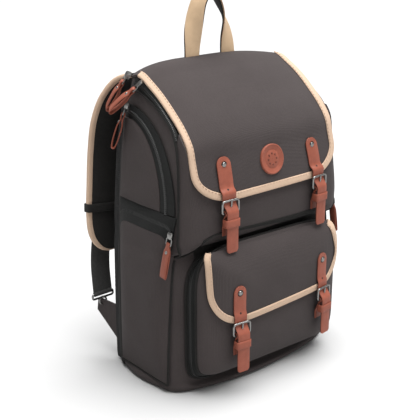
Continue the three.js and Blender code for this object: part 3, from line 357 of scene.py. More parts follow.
def side_x(y, z):
    share = np.clip(np.abs(y - body_mid(z)) / body_deep(z), 0, 1)
    return body_half(z) * (1 - share**front_power) ** (1 / side_power)


side_run = np.pi / 4 * np.linspace(0, 1, 25) ** (front_power / 2)
face_run = np.pi / 4 * np.linspace(0, 1, 41) ** (side_power / 2)
quarter = np.concatenate([side_run, (np.pi / 2 - face_run)[::-1][1:]])
angles = np.concatenate([quarter[:-1], (np.pi - quarter[::-1])[:-1], (np.pi + quarter)[:-1],
                         (2 * np.pi - quarter[::-1])[:-1]])
ring_x = signed(np.cos(angles), 2 / side_power)
ring_y = signed(np.sin(angles), 2 / front_power)


def body_ring(z, inset=0.0):
    half = body_half(z) - inset
    x = half * ring_x
    forward = np.maximum(-ring_y, 0) * body_crown(z) * (1 - ring_x**2)
    y = body_mid(z) + (body_deep(z) - inset) * ring_y - forward
    return np.stack([x, y, np.broadcast_to(z, x.shape)], axis=-1)


flap_rows = np.array([  # half width, y and height of the flap's edge, its crown and how flat that is
    (124, 72, 405, 11, 6), (126, 54, 415, 13, 5.7), (127, 32, 421, 13.5, 5.7), (127.5, 9, 411, 12.5, 5.5),
    (128, -13, 398, 11.5, 5.2), (128, -33, 382.5, 10.5, 4.6), (128, -54.5, 363, 9.5, 3.5),
    (128, -68.5, 344, 9, 2.5), (128, -74, 324, 8.5, 2), (128, -79.5, 304, 7.5, 2), (128, -84, 287, 6, 2),
    (128, -87.5, 272, 5, 2),
], float)
flap_rows_long = (1, 1, 1, 0.001, 0.001)  # leaves the last two columns out of the distances
flap_line = smooth_path(flap_rows * flap_rows_long, 401)
flap_tangent = heading(flap_line[:, 1:3])
flap_length = np.linalg.norm(np.diff(flap_line[:, :3], axis=0), axis=1).sum()


def flap_point(x, along, lift=0.0):
    """A point of the flap's face; along is 0 at its back seam and 1 at its lower edge."""
    at = np.clip(along, 0, 1) * 400
    half, y, z, crown, power = (np.interp(at, np.arange(401), column) for column in flap_line.T)
    crown = crown * 1000
    power = np.where(x > 0, np.minimum(power * 1000, 2.2), power * 1000)
    up_y = np.interp(at, np.arange(401), flap_tangent[:, 1])
    up_z = np.interp(at, np.arange(401), -flap_tangent[:, 0])
    share = np.abs(x) / half
    inside = np.minimum(share, 1)
    slope = np.where(share > 1.004, 0, np.sign(x) * crown * power * inside ** (power - 1) / half)
    long = np.sqrt(1 + slope**2)
    rise = crown * (1 - inside**power) + lift / long
    return np.stack([x + lift * slope / long + 0 * y, y + up_y * rise, z + up_z * rise], axis=-1)


rim_rows = np.array([  # y and height of the body's rim beside the main zip
    (-56, 345), (-44.5, 364), (-30, 375), (-7, 388), (24, 399), (40, 401),
], float)
rim_front = rim_rows[0, 0]
rim_back = rim_rows[-1, 0]
rim_height = between(rim_rows, 1)


def body_top():
    """The height at which each line up the wall meets the flap or the main zip."""
    low = np.full(len(angles), 250.0)
    high = np.full(len(angles), 440.0)
    along = np.linspace(0, 1, 201)
    for _ in range(22):
        z = (low + high) / 2
        ring = body_ring(z)
        beside_flap = smooth(np.abs(ring[:, :1]), 129, 133)
        under = flap_point(ring[:, :1], along[None, :], -3.8 + 4.4 * beside_flap)
        limit = np.array([np.interp(-y, -row[:, 1], row[:, 2]) for y, row in zip(ring[:, 1], under)])
        at_zip = (ring[:, 1] > rim_front) & (ring[:, 1] < rim_back)
        limit = np.where(at_zip, np.minimum(limit, rim_height(ring[:, 1])), limit)
        low = np.where(z < limit, z, low)
        high = np.where(z < limit, high, z)
    return low


tops = body_top()
levels = np.concatenate([[0, 1, 2.5, 4, 5.5, 7, 9, 10.2, 11.4, 12.6, 14, 16, 19], np.linspace(24, 184, 30),
                         np.linspace(188, 256, 35), np.linspace(262, 290, 5)])
wall_z = [np.full(len(angles), z) for z in levels] + [290 + (tops - 290) * t for t in np.linspace(0.1, 1, 16)]
wall_outer = np.array([body_ring(z) for z in wall_z])
wall_outer += normals(wall_outer) * (ripple(wall_outer, 95, 0.35, 3) - 0.6)
wall_x, wall_y, wall_height = np.moveaxis(wall_outer.copy(), -1, 0)
hang = 7 * smooth(np.abs(wall_x), 92, 140)
drawn_up = (5.5 - 0.055 * wall_x) * smooth(-np.abs(wall_x), -135, -88)
at_waist = smooth(-wall_y, 20, 58) * np.exp(-(((wall_height - 212) / 15) ** 2))
wall_outer[..., 2] += (drawn_up - hang) * at_waist
base_welt = 8 * (1 - ring_y**2) ** 2
wall_outer[..., 0] += np.sign(ring_x) * base_welt * smooth(17 - wall_outer[..., 2], 0, 9)
wall_outer[0, :, 2] = 0
wall_inner = np.array([body_ring(np.maximum(z, wall), wall) for z in wall_z[-3::-4]])
hem = body_ring(tops, 12)[None]
body = piece("body", tube(np.concatenate([wall_outer, hem, wall_inner])), canvas, "body_shell")
waist = wall_outer[np.argmin(np.abs(levels - 202))]
tuck_rows = slice(np.argmin(np.abs(levels - 190)), np.argmin(np.abs(levels - 225)))
in_front = (ring_y < -0.5) & (np.abs(waist[:, 0]) < 118)
tucked = wall_outer[tuck_rows][:, in_front]
wall_off = normals(wall_outer)
tucked_off = wall_off[tuck_rows][:, in_front]
piece("waist_band", slab(tucked + tucked_off * 1.2, tucked - tucked_off * 0.3), black)
both_sides = (("left", -1), ("right", 1))
for name, side in both_sides:
    front_corner = (waist[:, 0] * side > 100) & (waist[:, 1] < -44)
    seam = waist[front_corner][np.argsort(angles[front_corner])]
    piece(f"waist_piping_{name}", rod(spaced(seam, 40), 1.5, 8), black)
    back_corner = (wall_outer[20, :, 0] * side > 118) & (wall_outer[20, :, 1] > 50)
    band = wall_outer[3:-6][:, back_corner]
    band_off = wall_off[3:-6][:, back_corner]
    piece(f"back_band_{name}", slab(band + band_off * 1.2, band - band_off * 0.3), black)

# Side zips of the main compartment. A black coil zip on woven tape, sewn between the body's rim
# and the flap's underside along each side.
zip_cloth = cloth("zip_tape", (0.009, 0.0093, 0.009), (0.0138, 0.0143, 0.0138), 0.0009, 0.75, shine=0.1)
coil = plain_finish("zip_coil", (0.010, 0.0105, 0.010), 0.38)


def together(*shapes):
    """Several shapes as one."""
    points, faces, count = [], [], 0
    for shape_points, shape_faces in shapes:
        points.append(shape_points)
        faces += [tuple(count + i for i in face) for face in shape_faces]
        count += len(shape_points)
    return np.concatenate(points), faces


def teeth(path, up, pitch=2.4, wide=4.6):
    """A zip's coil: short rounded bars across a line, standing off it along up."""
    run = np.linalg.norm(np.diff(path, axis=0), axis=1).sum()
    count = int(run / pitch)
    line = spaced(np.hstack([path, up]), count + 1)
    along = heading(line[:, :3])
    off = unit(line[:, 3:])
    across = np.cross(along, off)
    section = [(-1, 0), (-0.8, 0.75), (0.8, 0.75), (1, 0)]
    shapes = []
    for p, a, o, c in zip(line[:, :3], along, off, across):
        rings = [[p + c * wide / 2 * u + o * 1.5 * h + a * pitch * 0.36 * s for u, h in section]
                 for s in (-1, -0.6, 0.6, 1)]
        rings = np.array(rings)
        middle = rings.mean(axis=(0, 1))
        rings[[0, 3]] = middle + (rings[[0, 3]] - middle) * 0.92
        shapes.append(tube(rings))
    return together(*shapes)


for name, side in both_sides:
    run_y = np.linspace(-54.5, 39.5, 60)
    under = flap_point(side * np.full(60, 136.0)[:, None], np.linspace(0, 1, 401)[None, :], -3.7)
    over = np.array([np.interp(-y, -row[:, 1], row[:, 2]) for y, row in zip(run_y, under)])
    low = rim_height(run_y) + gap

    def zip_face(lift):
        rows = []
        for t in np.linspace(0, 1, 9):
            z = low + (np.maximum(over, low + 1) - low) * t
            rows.append(np.stack([side * (side_x(run_y, z) + lift), run_y, z], axis=-1))
        return np.array(rows)

    tape = zip_face(0.0)
    piece(f"main_zip_{name}", slab(tape, zip_face(-wall)), zip_cloth, f"top_zip_{name}")
    off = np.tile([side * 1.0, 0, 0.25], (60, 1))
    piece(f"main_zip_coil_{name}", teeth(tape[4] + off * 0.2, off), coil)

# Back panel. Foam between two layers of black mesh, quilted into three upright channels
# and sewn flat to the wearer's side.
pad_low = 4
pad_high = 390
pad_half = 145
pad_u, pad_v = np.meshgrid(np.linspace(-1, 1, 91), np.linspace(-1, 1, 101))
pad_z = pad_low + (pad_high - pad_low) * (pad_v + 1) / 2
pad_x = pad_u * np.minimum(pad_half, body_half(pad_z) * 0.975)
pad_fill = (1 - np.abs(pad_u) ** 24) * (1 - np.abs(pad_v) ** 16)
channel = np.minimum(1, np.abs(np.abs(pad_u) - 0.36) / 0.06) ** 0.6
pad_lift = 0.6 + 1.2 + pad_fill * (1.2 + 4.2 * channel)
pad_outer = np.stack([pad_x, body_back(pad_z) + pad_lift, pad_z], axis=-1)
pad_inner = np.stack([pad_x, back_y(pad_x, pad_z) + gap, pad_z], axis=-1)
mesh_cloth = cloth("back_mesh", (0.004, 0.004, 0.004), (0.012, 0.012, 0.012), 0.0028, 0.9, 0.1, 0.0008)
back_pad = piece("back_panel", slab(pad_outer, pad_inner), mesh_cloth, "back_panel")

# Front pocket. A black zipped gusset sewn round to the body's front, with a domed grey panel
# closing it and piping on both seams.
pocket_rows = np.array([  # how far out from the body, half width, foot and top
    (0, 131, 14, 202), (0.5, 131, 18, 206), (1, 129, 23.5, 209),
], float)
pocket_half = between(pocket_rows, 1)
pocket_low = between(pocket_rows, 2)
pocket_high = between(pocket_rows, 3)
upper_power = 5
lower_power = 9
pocket_edge = -83
pocket_dome = 24
fine_turn = np.concatenate([q * np.pi / 2 + np.concatenate([
    np.pi / 4 * np.linspace(0, 1, 40, endpoint=False) ** (power / 2),
    np.pi / 2 - np.pi / 4 * np.linspace(1, 0, 40, endpoint=False) ** (power / 2),
]) for q, power in enumerate((upper_power, upper_power, lower_power, lower_power))])
turn_power = np.where(np.sin(fine_turn) < 0, lower_power, upper_power)
turn_x = signed(np.cos(fine_turn), 2 / turn_power)
turn_z = signed(np.sin(fine_turn), 2 / turn_power)
panel_half = float(pocket_half(1))
panel_mid = (pocket_high(1) + pocket_low(1)) / 2
panel_tall = (pocket_high(1) - pocket_low(1)) / 2


def askew(x, z):
    """The panel is sewn on a little askew: its right end hangs lower at the top and at the foot."""
    foot = -0.03 * x * smooth(panel_mid - z, 0, panel_tall)
    return foot - (2.2 + 0.025 * x) * smooth(z - panel_mid, 0, panel_tall)


def pocket_outline(depth, inset=0.0):
    low = pocket_low(depth)
    high = pocket_high(depth)
    x = (pocket_half(depth) - inset) * turn_x
    return x, (low + high) / 2 + ((high - low) / 2 - inset) * turn_z


def gusset_line(depth, inset=0.0):
    x, z = pocket_outline(depth, inset)
    start = front_y(x, z) - gap * 1.5
    return np.stack([x, start + (pocket_edge - start) * depth, z + askew(x, z) * depth], axis=-1)


depths = np.linspace(0, 1, 13)
gusset_outer = np.array([gusset_line(d, 0.5 - 0.5 * math.sin(d * math.pi)) for d in depths])
gusset_inner = np.array([gusset_line(d, cloth_thick) for d in depths])
piece("pocket_gusset", slab(gusset_outer, gusset_inner, True), zip_cloth, "front_gusset")


def ring_out(line):
    """The way off a closed line in its own plane across the bag."""
    along = np.roll(line, -1, axis=0) - np.roll(line, 1, axis=0)
    off = np.stack([along[:, 2], 0 * along[:, 0], -along[:, 0]], axis=-1)
    return unit(off)


zip_line = gusset_line(0.52)
zip_out = ring_out(zip_line)
loop = np.arange(len(zip_line) + 1) % len(zip_line)
piece("pocket_zip_coil", teeth(zip_line[loop], zip_out[loop]), coil)
for place, depth in (("body", 0.06), ("panel", 1.0)):
    edge = gusset_line(depth)
    piece(f"pocket_piping_{place}", rod(spaced(edge[loop], 300)[:-1] + (0, -0.2, 0), 1.9, 8, True),
          black)


def pocket_y(x, z, power=None):
    if power is None:
        power = np.where(np.asarray(z) < panel_mid, lower_power, upper_power)
    out = (np.abs(x / panel_half) ** power + np.abs((z - panel_mid) / panel_tall) ** power) ** (1 / power)
    return pocket_edge - gap - cloth_thick - pocket_dome * np.sqrt(1 - np.minimum(out, 1) ** 3)


edge_x, edge_z = pocket_outline(1)
shares = np.sin(np.linspace(0.02, np.pi / 2, 46))
panel = np.array([np.stack([edge_x * s, pocket_y(edge_x * s, panel_mid + (edge_z - panel_mid) * s),
                            panel_mid + (edge_z - panel_mid) * s], axis=-1) for s in shares])
dents = ripple(panel, 70, 0.5, 11) * np.minimum(1, (1 - shares) * 8)[:, None, None]
panel += np.array([0, 1, 0]) * np.abs(dents)
panel[..., 2] += askew(panel[..., 0], panel[..., 2])
panel_skins = np.concatenate([panel + (0, cloth_thick, 0), panel[::-1]])
front_panel = piece("front_panel", tube(panel_skins), canvas, "front_panel")

# Pocket flap. A sheet of the same canvas sewn to the panel's top edge and lying over it,
# its sides and lower edge folded into beige tape.
pocket_flap_size = {"low": 107, "half": 121, "taper": 2, "corner": 46, "top_corner": 8, "power": 16}
flap_top_z = float(pocket_high(1)) - 1.5
flap_mid_z = (pocket_flap_size["low"] + flap_top_z) / 2


def pocket_flap_half(z):
    corner = pocket_flap_size["corner"]
    top = pocket_flap_size["top_corner"]
    drop = np.maximum(pocket_flap_size["low"] + corner - z, 0)
    rise = np.maximum(z - flap_top_z + top, 0)
    cut = corner - np.sqrt(np.maximum(corner**2 - drop**2, 0))
    taper = pocket_flap_size["taper"] * ((z - flap_mid_z) / (flap_top_z - flap_mid_z)) ** 2
    return pocket_flap_size["half"] - taper - cut - (top - np.sqrt(np.maximum(top**2 - rise**2, 0)))


def pocket_flap_y(x, z, lift=1.6 + cloth_thick):
    return pocket_y(x, z, pocket_flap_size["power"]) - lift


def hem_rise(x, z):
    """The flap is sewn on a little askew: its hem lies higher at its right end."""
    hem = (2.8 + 0.035 * x) * smooth(flap_top_z - z, 0, flap_top_z - pocket_flap_size["low"])
    return hem + np.where(z > panel_mid, askew(x, z), 0)


def sway(x, z):
    """The flap's top end lies further left than its hem, most of all at its right side."""
    up = (z - flap_mid_z) / (flap_top_z - flap_mid_z)
    return 3 * smooth(-up, -0.2, 0.6) * smooth(-x, 40, 121) - (6.5 + 3.5 * x / 121) * smooth(up, 0, 1)


low_z, corner, top_corner = (pocket_flap_size[k] for k in ("low", "corner", "top_corner"))
corner_rows = low_z + corner * (1 - np.sin(np.linspace(0, np.pi / 2, 24)))[::-1]
top_rows = flap_top_z - top_corner * (1 - np.sin(np.linspace(0, np.pi / 2, 8)))
flap_z = np.concatenate([corner_rows[:-1], np.linspace(low_z + corner, top_rows[0], 20)[:-1], top_rows])
grid_u, grid_z = np.meshgrid(np.linspace(-1, 1, 81), flap_z)
grid_x = grid_u * pocket_flap_half(grid_z)
grid_x = grid_x + sway(grid_x, grid_z)
hung_z = grid_z + hem_rise(grid_x, grid_z)
lower_face = np.stack([grid_x, pocket_flap_y(grid_x, grid_z, 1.6), hung_z], axis=-1)
upper_face = np.stack([grid_x, pocket_flap_y(grid_x, grid_z), hung_z], axis=-1)
inside = (1 - np.abs(grid_u) ** 6)[..., None]
for flap_face in (upper_face, lower_face):
    flap_face += np.array([0, 1, 0]) * np.abs(ripple(upper_face, 85, 0.5, 5)) * inside
pocket_flap = piece("pocket_flap", slab(upper_face, lower_face), canvas, "pocket_flap")
beige = cloth("binding_tape", (0.49, 0.35, 0.253), (0.55, 0.397, 0.288), 0.0012, 0.85)
thread = plain_finish("thread", (0.47, 0.335, 0.245), 0.7)


def edge_frames(points, off):
    """Along an edge: its points, the way off the cloth, and the way out past the edge."""
    out = unit(np.cross(heading(points), off))
    points_up = out[len(points) // 2, 2] > 0
    return points, off, -out if points_up else out


def folded_tape(frames, thick, reach, tape=1.1, room=0.3, under=None):
    """Tape folded round an edge of cloth, with its fold rounded."""
    points, off, out = frames
    under = reach if under is None else under
    inner = thick / 2 + room
    outer = inner + tape
    fold = [(0.5 + outer * math.cos(a) * 0.75, outer * math.sin(a)) for a in np.linspace(1.4, -1.4, 9)]
    back_fold = [(0.2 + inner * math.cos(a) * 0.4, inner * math.sin(a)) for a in np.linspace(-1.2, 1.2, 5)]
    section = [(-reach, inner), (-reach, outer - 0.35), (-reach + 0.5, outer), (-reach * 0.5, outer + 0.15)]
    section += fold + [(-under * 0.5, -outer), (-under, -outer + 0.3), (-under, -inner)] + back_fold
    rings = np.stack([points + out * o + off * u for o, u in section], axis=1)
    return tube(rings)


def stitches(line, off, length=3.4, pitch=5.2, thick=0.55):
    """A row of sewn stitches: short threads that dip into the cloth at both ends."""
    run = np.linalg.norm(np.diff(line, axis=0), axis=1).sum()
    count = max(int(run / pitch), 2)
    spots = spaced(np.hstack([line, off]), count)
    along = heading(spots[:, :3])
    up = unit(spots[:, 3:])
    side = np.cross(along, up)
    turns = np.linspace(0, 2 * np.pi, 5, endpoint=False)
    shapes = []
    for p, a, u, s in zip(spots[:, :3], along, up, side):
        circle = np.array([u * math.cos(q) + s * math.sin(q) for q in turns])
        rings = [p + a * length / 2 * t + circle * thick * r + u * (r - 0.6) * 0.5
                 for t, r in ((-1, 0.35), (-0.5, 1), (0.5, 1), (1, 0.35))]
        shapes.append(tube(np.array(rings)))
    return together(*shapes)


def bound_edge(name, frames, reach, under, binding):
    """The tape round a flap's edge and the stitches that hold it."""
    points, off, out = frames
    fold = folded_tape(frames, cloth_thick, reach, under=under)
    tape = piece(f"{name}_tape", fold, beige, binding)
    sewn = points - out * (reach - 1.3) + off * 2.75
    return tape, piece(f"{name}_stitches", stitches(sewn, off), thread)


def sides_and_hem(half, rows, hem):
    """A flap's edge in its own flat measure: down its left side, along its hem and up its right side."""
    sides = np.concatenate([-half(rows), np.linspace(-1, 1, 60) * half(hem), half(rows)[::-1]])
    return sides, np.concatenate([rows, np.full(60, hem), rows[::-1]])


edge_x, edge_z = sides_and_hem(pocket_flap_half, flap_z[-3:0:-1], low_z)
edge_x = edge_x + sway(edge_x, edge_z)
tape_edge = np.stack([edge_x, pocket_flap_y(edge_x, edge_z, 2.7), edge_z + hem_rise(edge_x, edge_z)], axis=-1)
tape_edge = spaced(tape_edge, 260)


def pocket_flap_off(points):
    d = 0.05
    x, z = points[:, 0], points[:, 2]
    slope_x = (pocket_flap_y(x + d, z) - pocket_flap_y(x - d, z)) / (2 * d)
    slope_z = (pocket_flap_y(x, z + d) - pocket_flap_y(x, z - d)) / (2 * d)
    off = np.stack([slope_x, np.full(len(x), -1.0), slope_z], axis=-1)
    return unit(off)


tape_frames = edge_frames(tape_edge, pocket_flap_off(tape_edge))
tape_reach = 7.5 + 3 * smooth(tape_edge[:, :1], 95, 118) - 1.4 * smooth(-tape_edge[:, :1], 95, 118)
pocket_tape, pocket_thread = bound_edge("pocket_flap", tape_frames, tape_reach, 4, "pocket_binding")

# Side panels. On each side a bulging lower pocket under a black zip, and over it an arched zip
# round a door of padded canvas; all are sewn to the body's wall.
side_pocket = {"front": -57, "lean": 7, "back": 52, "low": 13, "high": 230, "arch": 20, "bulge": 10}
pocket_wide = side_pocket["back"] - side_pocket["front"]
door = {"low": 251, "back": 54, "deep": 89, "tall": 116, "bulge": 3.5}
zip_band = {"over": 16, "before": 28, "foot": 256}
side_cloth = 2.6


def pocket_share(y):
    """From -1 at the pocket's front edge to 1 at its back edge."""
    return 2 * (y - side_pocket["front"]) / pocket_wide - 1


def pocket_top(y):
    share = pocket_share(y)
    return side_pocket["high"] - side_pocket["arch"] * np.abs(share) ** np.where(share > 0, 6, 10)


def pocket_swell(y, up):
    rise = (1 - (1 - up) ** 6) * (1 - 0.25 * smooth(up, 0.6, 1))
    return side_pocket["bulge"] * (1 - pocket_share(y) ** 4) * rise


def door_back(z):
    return np.minimum(door["back"], body_mid(z) + 0.9 * body_deep(z))


def door_arch(z, grow):
    tall = door["tall"] + grow * zip_band["over"]
    deep = door["deep"] + grow * zip_band["before"]
    arch = door["back"] - deep * np.sqrt(np.maximum(1 - ((z - door["low"]) / tall) ** 2, 0))
    return np.clip(arch, body_mid(z) - 0.9 * body_deep(z), door_back(z))


for name, side in both_sides:
    def on_side(y, z, lift):
        return np.stack([side * (side_x(y, z) + lift), y + 0 * z, z + 0 * y], axis=-1)

    pocket_run = np.linspace(side_pocket["front"], side_pocket["back"], 61)
    run, up = np.meshgrid(pocket_run, np.linspace(0, 1, 80))
    height = side_pocket["low"] + (pocket_top(run) - side_pocket["low"]) * up
    leant = run + side_pocket["lean"] * (1 - up) * (side_pocket["back"] - run) / pocket_wide
    outer = on_side(leant, height, pocket_swell(run, up) + side_cloth)
    slack = ((1 - pocket_share(run) ** 6) * np.minimum(1, (1 - up) * 8))[..., None]
    outer += np.array([-side, 0, 0]) * np.abs(ripple(outer, 75, 0.6, 21 + side)) * slack
    inner = on_side(leant, height, np.maximum(pocket_swell(run, up) - gap, gap))
    piece(f"side_pocket_{name}", slab(outer, inner), canvas, f"side_pocket_{name}")
    for end, line in (("front", outer[:-6, 0]), ("foot", outer[0])):
        piece(f"side_pocket_piping_{end}_{name}", rod(line, 1.6, 8), black)

    run, rise = np.meshgrid(pocket_run, np.linspace(0, 1, 13))
    zip_z = (pocket_top(run) + gap) * (1 - rise) + zip_band["foot"] * rise
    swell = pocket_swell(run, np.ones_like(run)) * (1 - rise)
    run = run - 9 * rise * (side_pocket["back"] - run) / pocket_wide
    outer = on_side(run, zip_z, swell + side_cloth)
    inner = on_side(run, zip_z, np.maximum(swell - gap, gap))
    piece(f"side_pocket_zip_{name}", slab(outer, inner), zip_cloth, f"side_pocket_zip_{name}")
    piece(f"side_pocket_coil_{name}", teeth(outer[6], normals(outer)[6] * -side), coil)

    arc = np.sin(np.linspace(0, np.pi / 2, 60))
    inner_z = door["low"] + 6 + (door["tall"] - 6.5) * arc
    outer_z = door["low"] + (inner_z - door["low"]) * (door["tall"] + zip_band["over"]) / door["tall"]
    rows = []
    for u in np.linspace(0, 1, 11):
        y = door_arch(outer_z, 1) * (1 - u) + (door_arch(inner_z, 0) - gap) * u
        rows.append((y, outer_z * (1 - u) + inner_z * u))
    band = np.array([on_side(y, z, 2.2) for y, z in rows])
    band_in = np.array([on_side(y, z, gap) for y, z in rows])
    piece(f"side_zip_{name}", slab(band, band_in), zip_cloth, f"side_zip_{name}")
    piece(f"side_zip_coil_{name}", teeth(band[6], np.tile([side, 0, 0.1], (60, 1))), coil)

    door_z = door["low"] + 6 + (door["tall"] - 9) * np.sin(np.linspace(0, np.pi / 2, 60))
    u, z = np.meshgrid(np.linspace(0, 1, 51), door_z)
    y = (door_arch(z, 0) + gap * 2) * (1 - u) + door_back(z) * u
    swell = door["bulge"] * (1 - (2 * u - 1) ** 4) * np.minimum(1, (z - door["low"]) / 12)
    slack = (1 - (2 * u - 1) ** 6)[..., None]
    outer = on_side(y, z, side_cloth + swell)
    outer += np.array([-side, 0, 0]) * np.abs(ripple(outer, 55, 0.5, 31 + side)) * slack
    piece(f"side_door_{name}", slab(outer, on_side(y, z, gap)), canvas, f"side_door_{name}")

    corner = [(-67, 221), (-68, 235), (-67.5, 250), (-65, 290), (-61, 325), *rim_rows]
    corner = smooth_path([(0, y, z) for y, z in corner], 160)
    corner = on_side(corner[:, 1], corner[:, 2], 0.3)
    to_waist = [(side * 142, -57, 199), (side * 141.2, -66.5, 205), (side * 144.5, -68.5, 211)]
    corner = smooth_path(np.concatenate([to_waist, corner[2:]]), 170)
    piece(f"corner_piping_{name}", rod(corner, 1.7, 8), black)

# Top flap. One large sheet of canvas sewn across the top of the back and hanging over the front,
# its sides and its rounded lower corners folded into beige tape with one row of stitches.
corner_wide = 61
corner_tall = 40


def flap_at(x, y):
    """How far along the flap its face comes to a given y."""
    along = np.linspace(0, 1, 401)
    return float(np.interp(-y, -flap_point(np.full(401, x), along)[:, 1], along))


def flap_half(along):
    half = np.interp(along * 400, np.arange(401), flap_line[:, 0])
    drop = np.clip(1 - (1 - along) * flap_length / corner_tall, 0, 1)
    return half - corner_wide + corner_wide * np.sqrt(1 - drop**2)


flap_start = flap_at(0.0, 56)
corner_at = 1 - corner_tall / flap_length
flap_runs = np.concatenate([np.linspace(flap_start, corner_at, 70)[:-1],
                            corner_at + (1 - corner_at) * np.sin(np.linspace(0, np.pi / 2, 26))])
grid_u, grid_v = np.meshgrid(np.linspace(-1, 1, 91), flap_runs)
grid_x = grid_u * flap_half(grid_v)
flap_outer = flap_point(grid_x, grid_v)
flap_up = flap_point(grid_x, grid_v, 1) - flap_outer
sag = -np.abs(ripple(flap_outer, 110, 0.6, 2)) * (1 - np.abs(grid_u) ** 6)[..., None]
flap_outer = flap_outer + flap_up * sag
flap = piece("top_flap", slab(flap_outer, flap_outer - flap_up * cloth_thick), canvas, "flap")
tape_from = flap_at(128.0, 32)
side_v = np.concatenate([[tape_from], flap_runs[flap_runs > tape_from][:-1]])
edge_xv = np.array(sides_and_hem(flap_half, side_v, 1.0))
edge_points = spaced(np.hstack([flap_point(*edge_xv, -1.1), edge_xv.T]), 420)
edge_xv = edge_points[:, 3:].T
tape_frames = edge_frames(edge_points[:, :3], unit(flap_point(*edge_xv, 1) - flap_point(*edge_xv)))
right_reach = 1.5 + 3 * smooth(edge_points[:, 2:3], 300, 375)
tape_reach = np.where(edge_points[:, 3:4] < 0, -0.9, right_reach)
tape_reach = 7.5 + tape_reach * smooth(np.abs(edge_points[:, 3:4]), 100, 126)
flap_tape, flap_thread = bound_edge("flap", tape_frames, tape_reach, 7.5, "flap_binding")

# Badge. A disc of chestnut leather with a pressed rim, a pressed ring and a ring of plain dots,
# stuck to the flap's front.
def hide(name, dark, light, roughness=0.5):
    """Leather: pores, slow changes of dye and a soft shine."""
    material = plain_finish(name, light, roughness)
    place = add_node(material, "TexCoord").outputs["Object"]
    dye = add_node(material, "TexNoise", Scale=70, Detail=6, Roughness=0.65)
    pores = add_node(material, "TexVoronoi", Scale=900)
    for texture in (dye, pores):
        material.node_tree.links.new(place, texture.inputs["Vector"])
    dye_and_grain(material, dye.outputs["Fac"], (0.3, 0.7), (dark, light), pores.outputs["Distance"], 0.35,
                  0.0003, **{"Specular IOR Level": 0.25})
    return material


leather = hide("leather", (0.224, 0.062, 0.0376), (0.282, 0.081, 0.0495))
leather_edge = hide("leather_edge", (0.11, 0.031, 0.020), (0.17, 0.048, 0.030), 0.6)
badge_z = 311.0
centre_line = flap_point(np.zeros(401), np.linspace(0, 1, 401))
front_part = centre_line[:, 1] < 0
badge_at = float(np.interp(-badge_z, -centre_line[front_part, 2], np.linspace(0, 1, 401)[front_part]))


def on_badge(r, angle, lift):
    return flap_point(r * np.cos(angle), badge_at - r * np.sin(angle) / flap_length, lift)


turn = np.linspace(0, 2 * np.pi, 64, endpoint=False)
profile = [  # radius and height over the flap, from the middle to the rim
    (0.3, 2.0), (6, 2.0), (11.2, 2.0), (11.8, 1.5), (13, 1.5), (13.6, 2.0), (17.4, 2.0), (17.9, 2.4),
    (18.8, 2.9), (19.7, 2.8), (20.4, 2.2), (20.5, 1.2), (20.5, -0.2),
]
badge_rings = np.array([on_badge(np.full(64, r), turn, lift) for r, lift in profile])
badge_rings = np.concatenate([on_badge(np.full(64, 0.3), turn, -0.2)[None], badge_rings])
piece("badge", tube(badge_rings, True), leather, "badge")


def dome(middle, off, radius, high, sides=16):
    """A rounded stud on a surface."""
    off = np.asarray(off, float) / np.linalg.norm(off)
    side = np.cross(off, (0.3, 0.2, 0.9))
    side /= np.linalg.norm(side)
    other = np.cross(off, side)
    angle = np.linspace(0, 2 * np.pi, sides, endpoint=False)[:, None]
    rings = [middle + (np.cos(angle) * side + np.sin(angle) * other) * radius * r + off * high * h
             for r, h in ((1, -0.6), (1, 0.1), (0.93, 0.45), (0.72, 0.8), (0.4, 0.97), (0.05, 1.0))]
    return tube(np.array(rings))


dots = []
dot_ring = 7.4
for a in np.linspace(0, 2 * np.pi, 8, endpoint=False):
    spot = on_badge(dot_ring, a, 2.0)
    dots.append(dome(spot, on_badge(dot_ring, a, 3.0) - spot, 1.5, 0.7))
piece("badge_dots", together(*dots), leather_edge)

# Buckled closures. A chestnut leather strap riveted to each flap runs down through a steel buckle
# and a leather keeper; a shorter leather strip sewn to the bag holds the buckle.
leather_thick = 2.2
steel = plain_finish("steel", (0.24, 0.236, 0.228), 0.5)
steel_shader = steel.node_tree.nodes["Principled BSDF"]
steel_shader.inputs["Metallic"].default_value = 1
steel_wear = add_node(steel, "TexNoise", Scale=260)
steel_range = add_node(steel, "MapRange", **{"To Min": 0.22, "To Max": 0.42})
for source, socket in ((add_node(steel, "TexCoord").outputs["Object"], steel_wear.inputs["Vector"]),
                       (steel_wear.outputs["Fac"], steel_range.inputs["Value"]),
                       (steel_range.outputs["Result"], steel_shader.inputs["Roughness"])):
    steel.node_tree.links.new(source, socket)
# Painted shade: a near-black finish for the inside of the strap's punched holes and a ring round each rivet's
# foot.
painted_hole_shade = plain_finish("hole_shade", (0.012, 0.008, 0.006), 0.9)


def flat_strap(path, wide, off, halves, thick, closed=False):
    """A flat strap with eased edges, and which of its faces are edges.

    wide is the way across it, off the way off its face, and halves are its half widths.
    """
    wide = np.broadcast_to(np.asarray(wide, float), path.shape)
    halves = np.broadcast_to(halves, len(path))
    t = thick / 2
    ease = min(0.6, t * 0.7)
    rings = []
    for p, w, o, h in zip(path, wide, off, halves):
        under = [(-h, -t + ease), (-h + ease, -t), (-h / 3, -t), (h / 3, -t), (h - ease, -t), (h, -t + ease)]
        rings.append([p + w * a + o * b for a, b in under + [(a, -b) for a, b in under[::-1]]])
    points, faces = tube(np.array(rings), closed)
    edge = []
    for face in faces:
        corners = {i % 12 for i in face}
        edge.append(int(len(face) > 4 or corners in ({5, 6}, {0, 11})))
    return (points, faces), edge


def rounded_loop(half, low, high, corner, y, count=80):
    """A rounded rectangle in a plane of constant y."""
    line = []
    for cx, cz, start in ((half - corner, high - corner, 0), (corner - half, high - corner, 90),
                          (corner - half, low + corner, 180), (half - corner, low + corner, 270)):
        for a in np.radians(np.linspace(start, start + 90, 9)):
            line.append((cx + corner * math.cos(a), y, cz + corner * math.sin(a)))
    return spaced(np.array(line + line[:1]), count + 1)[:-1]


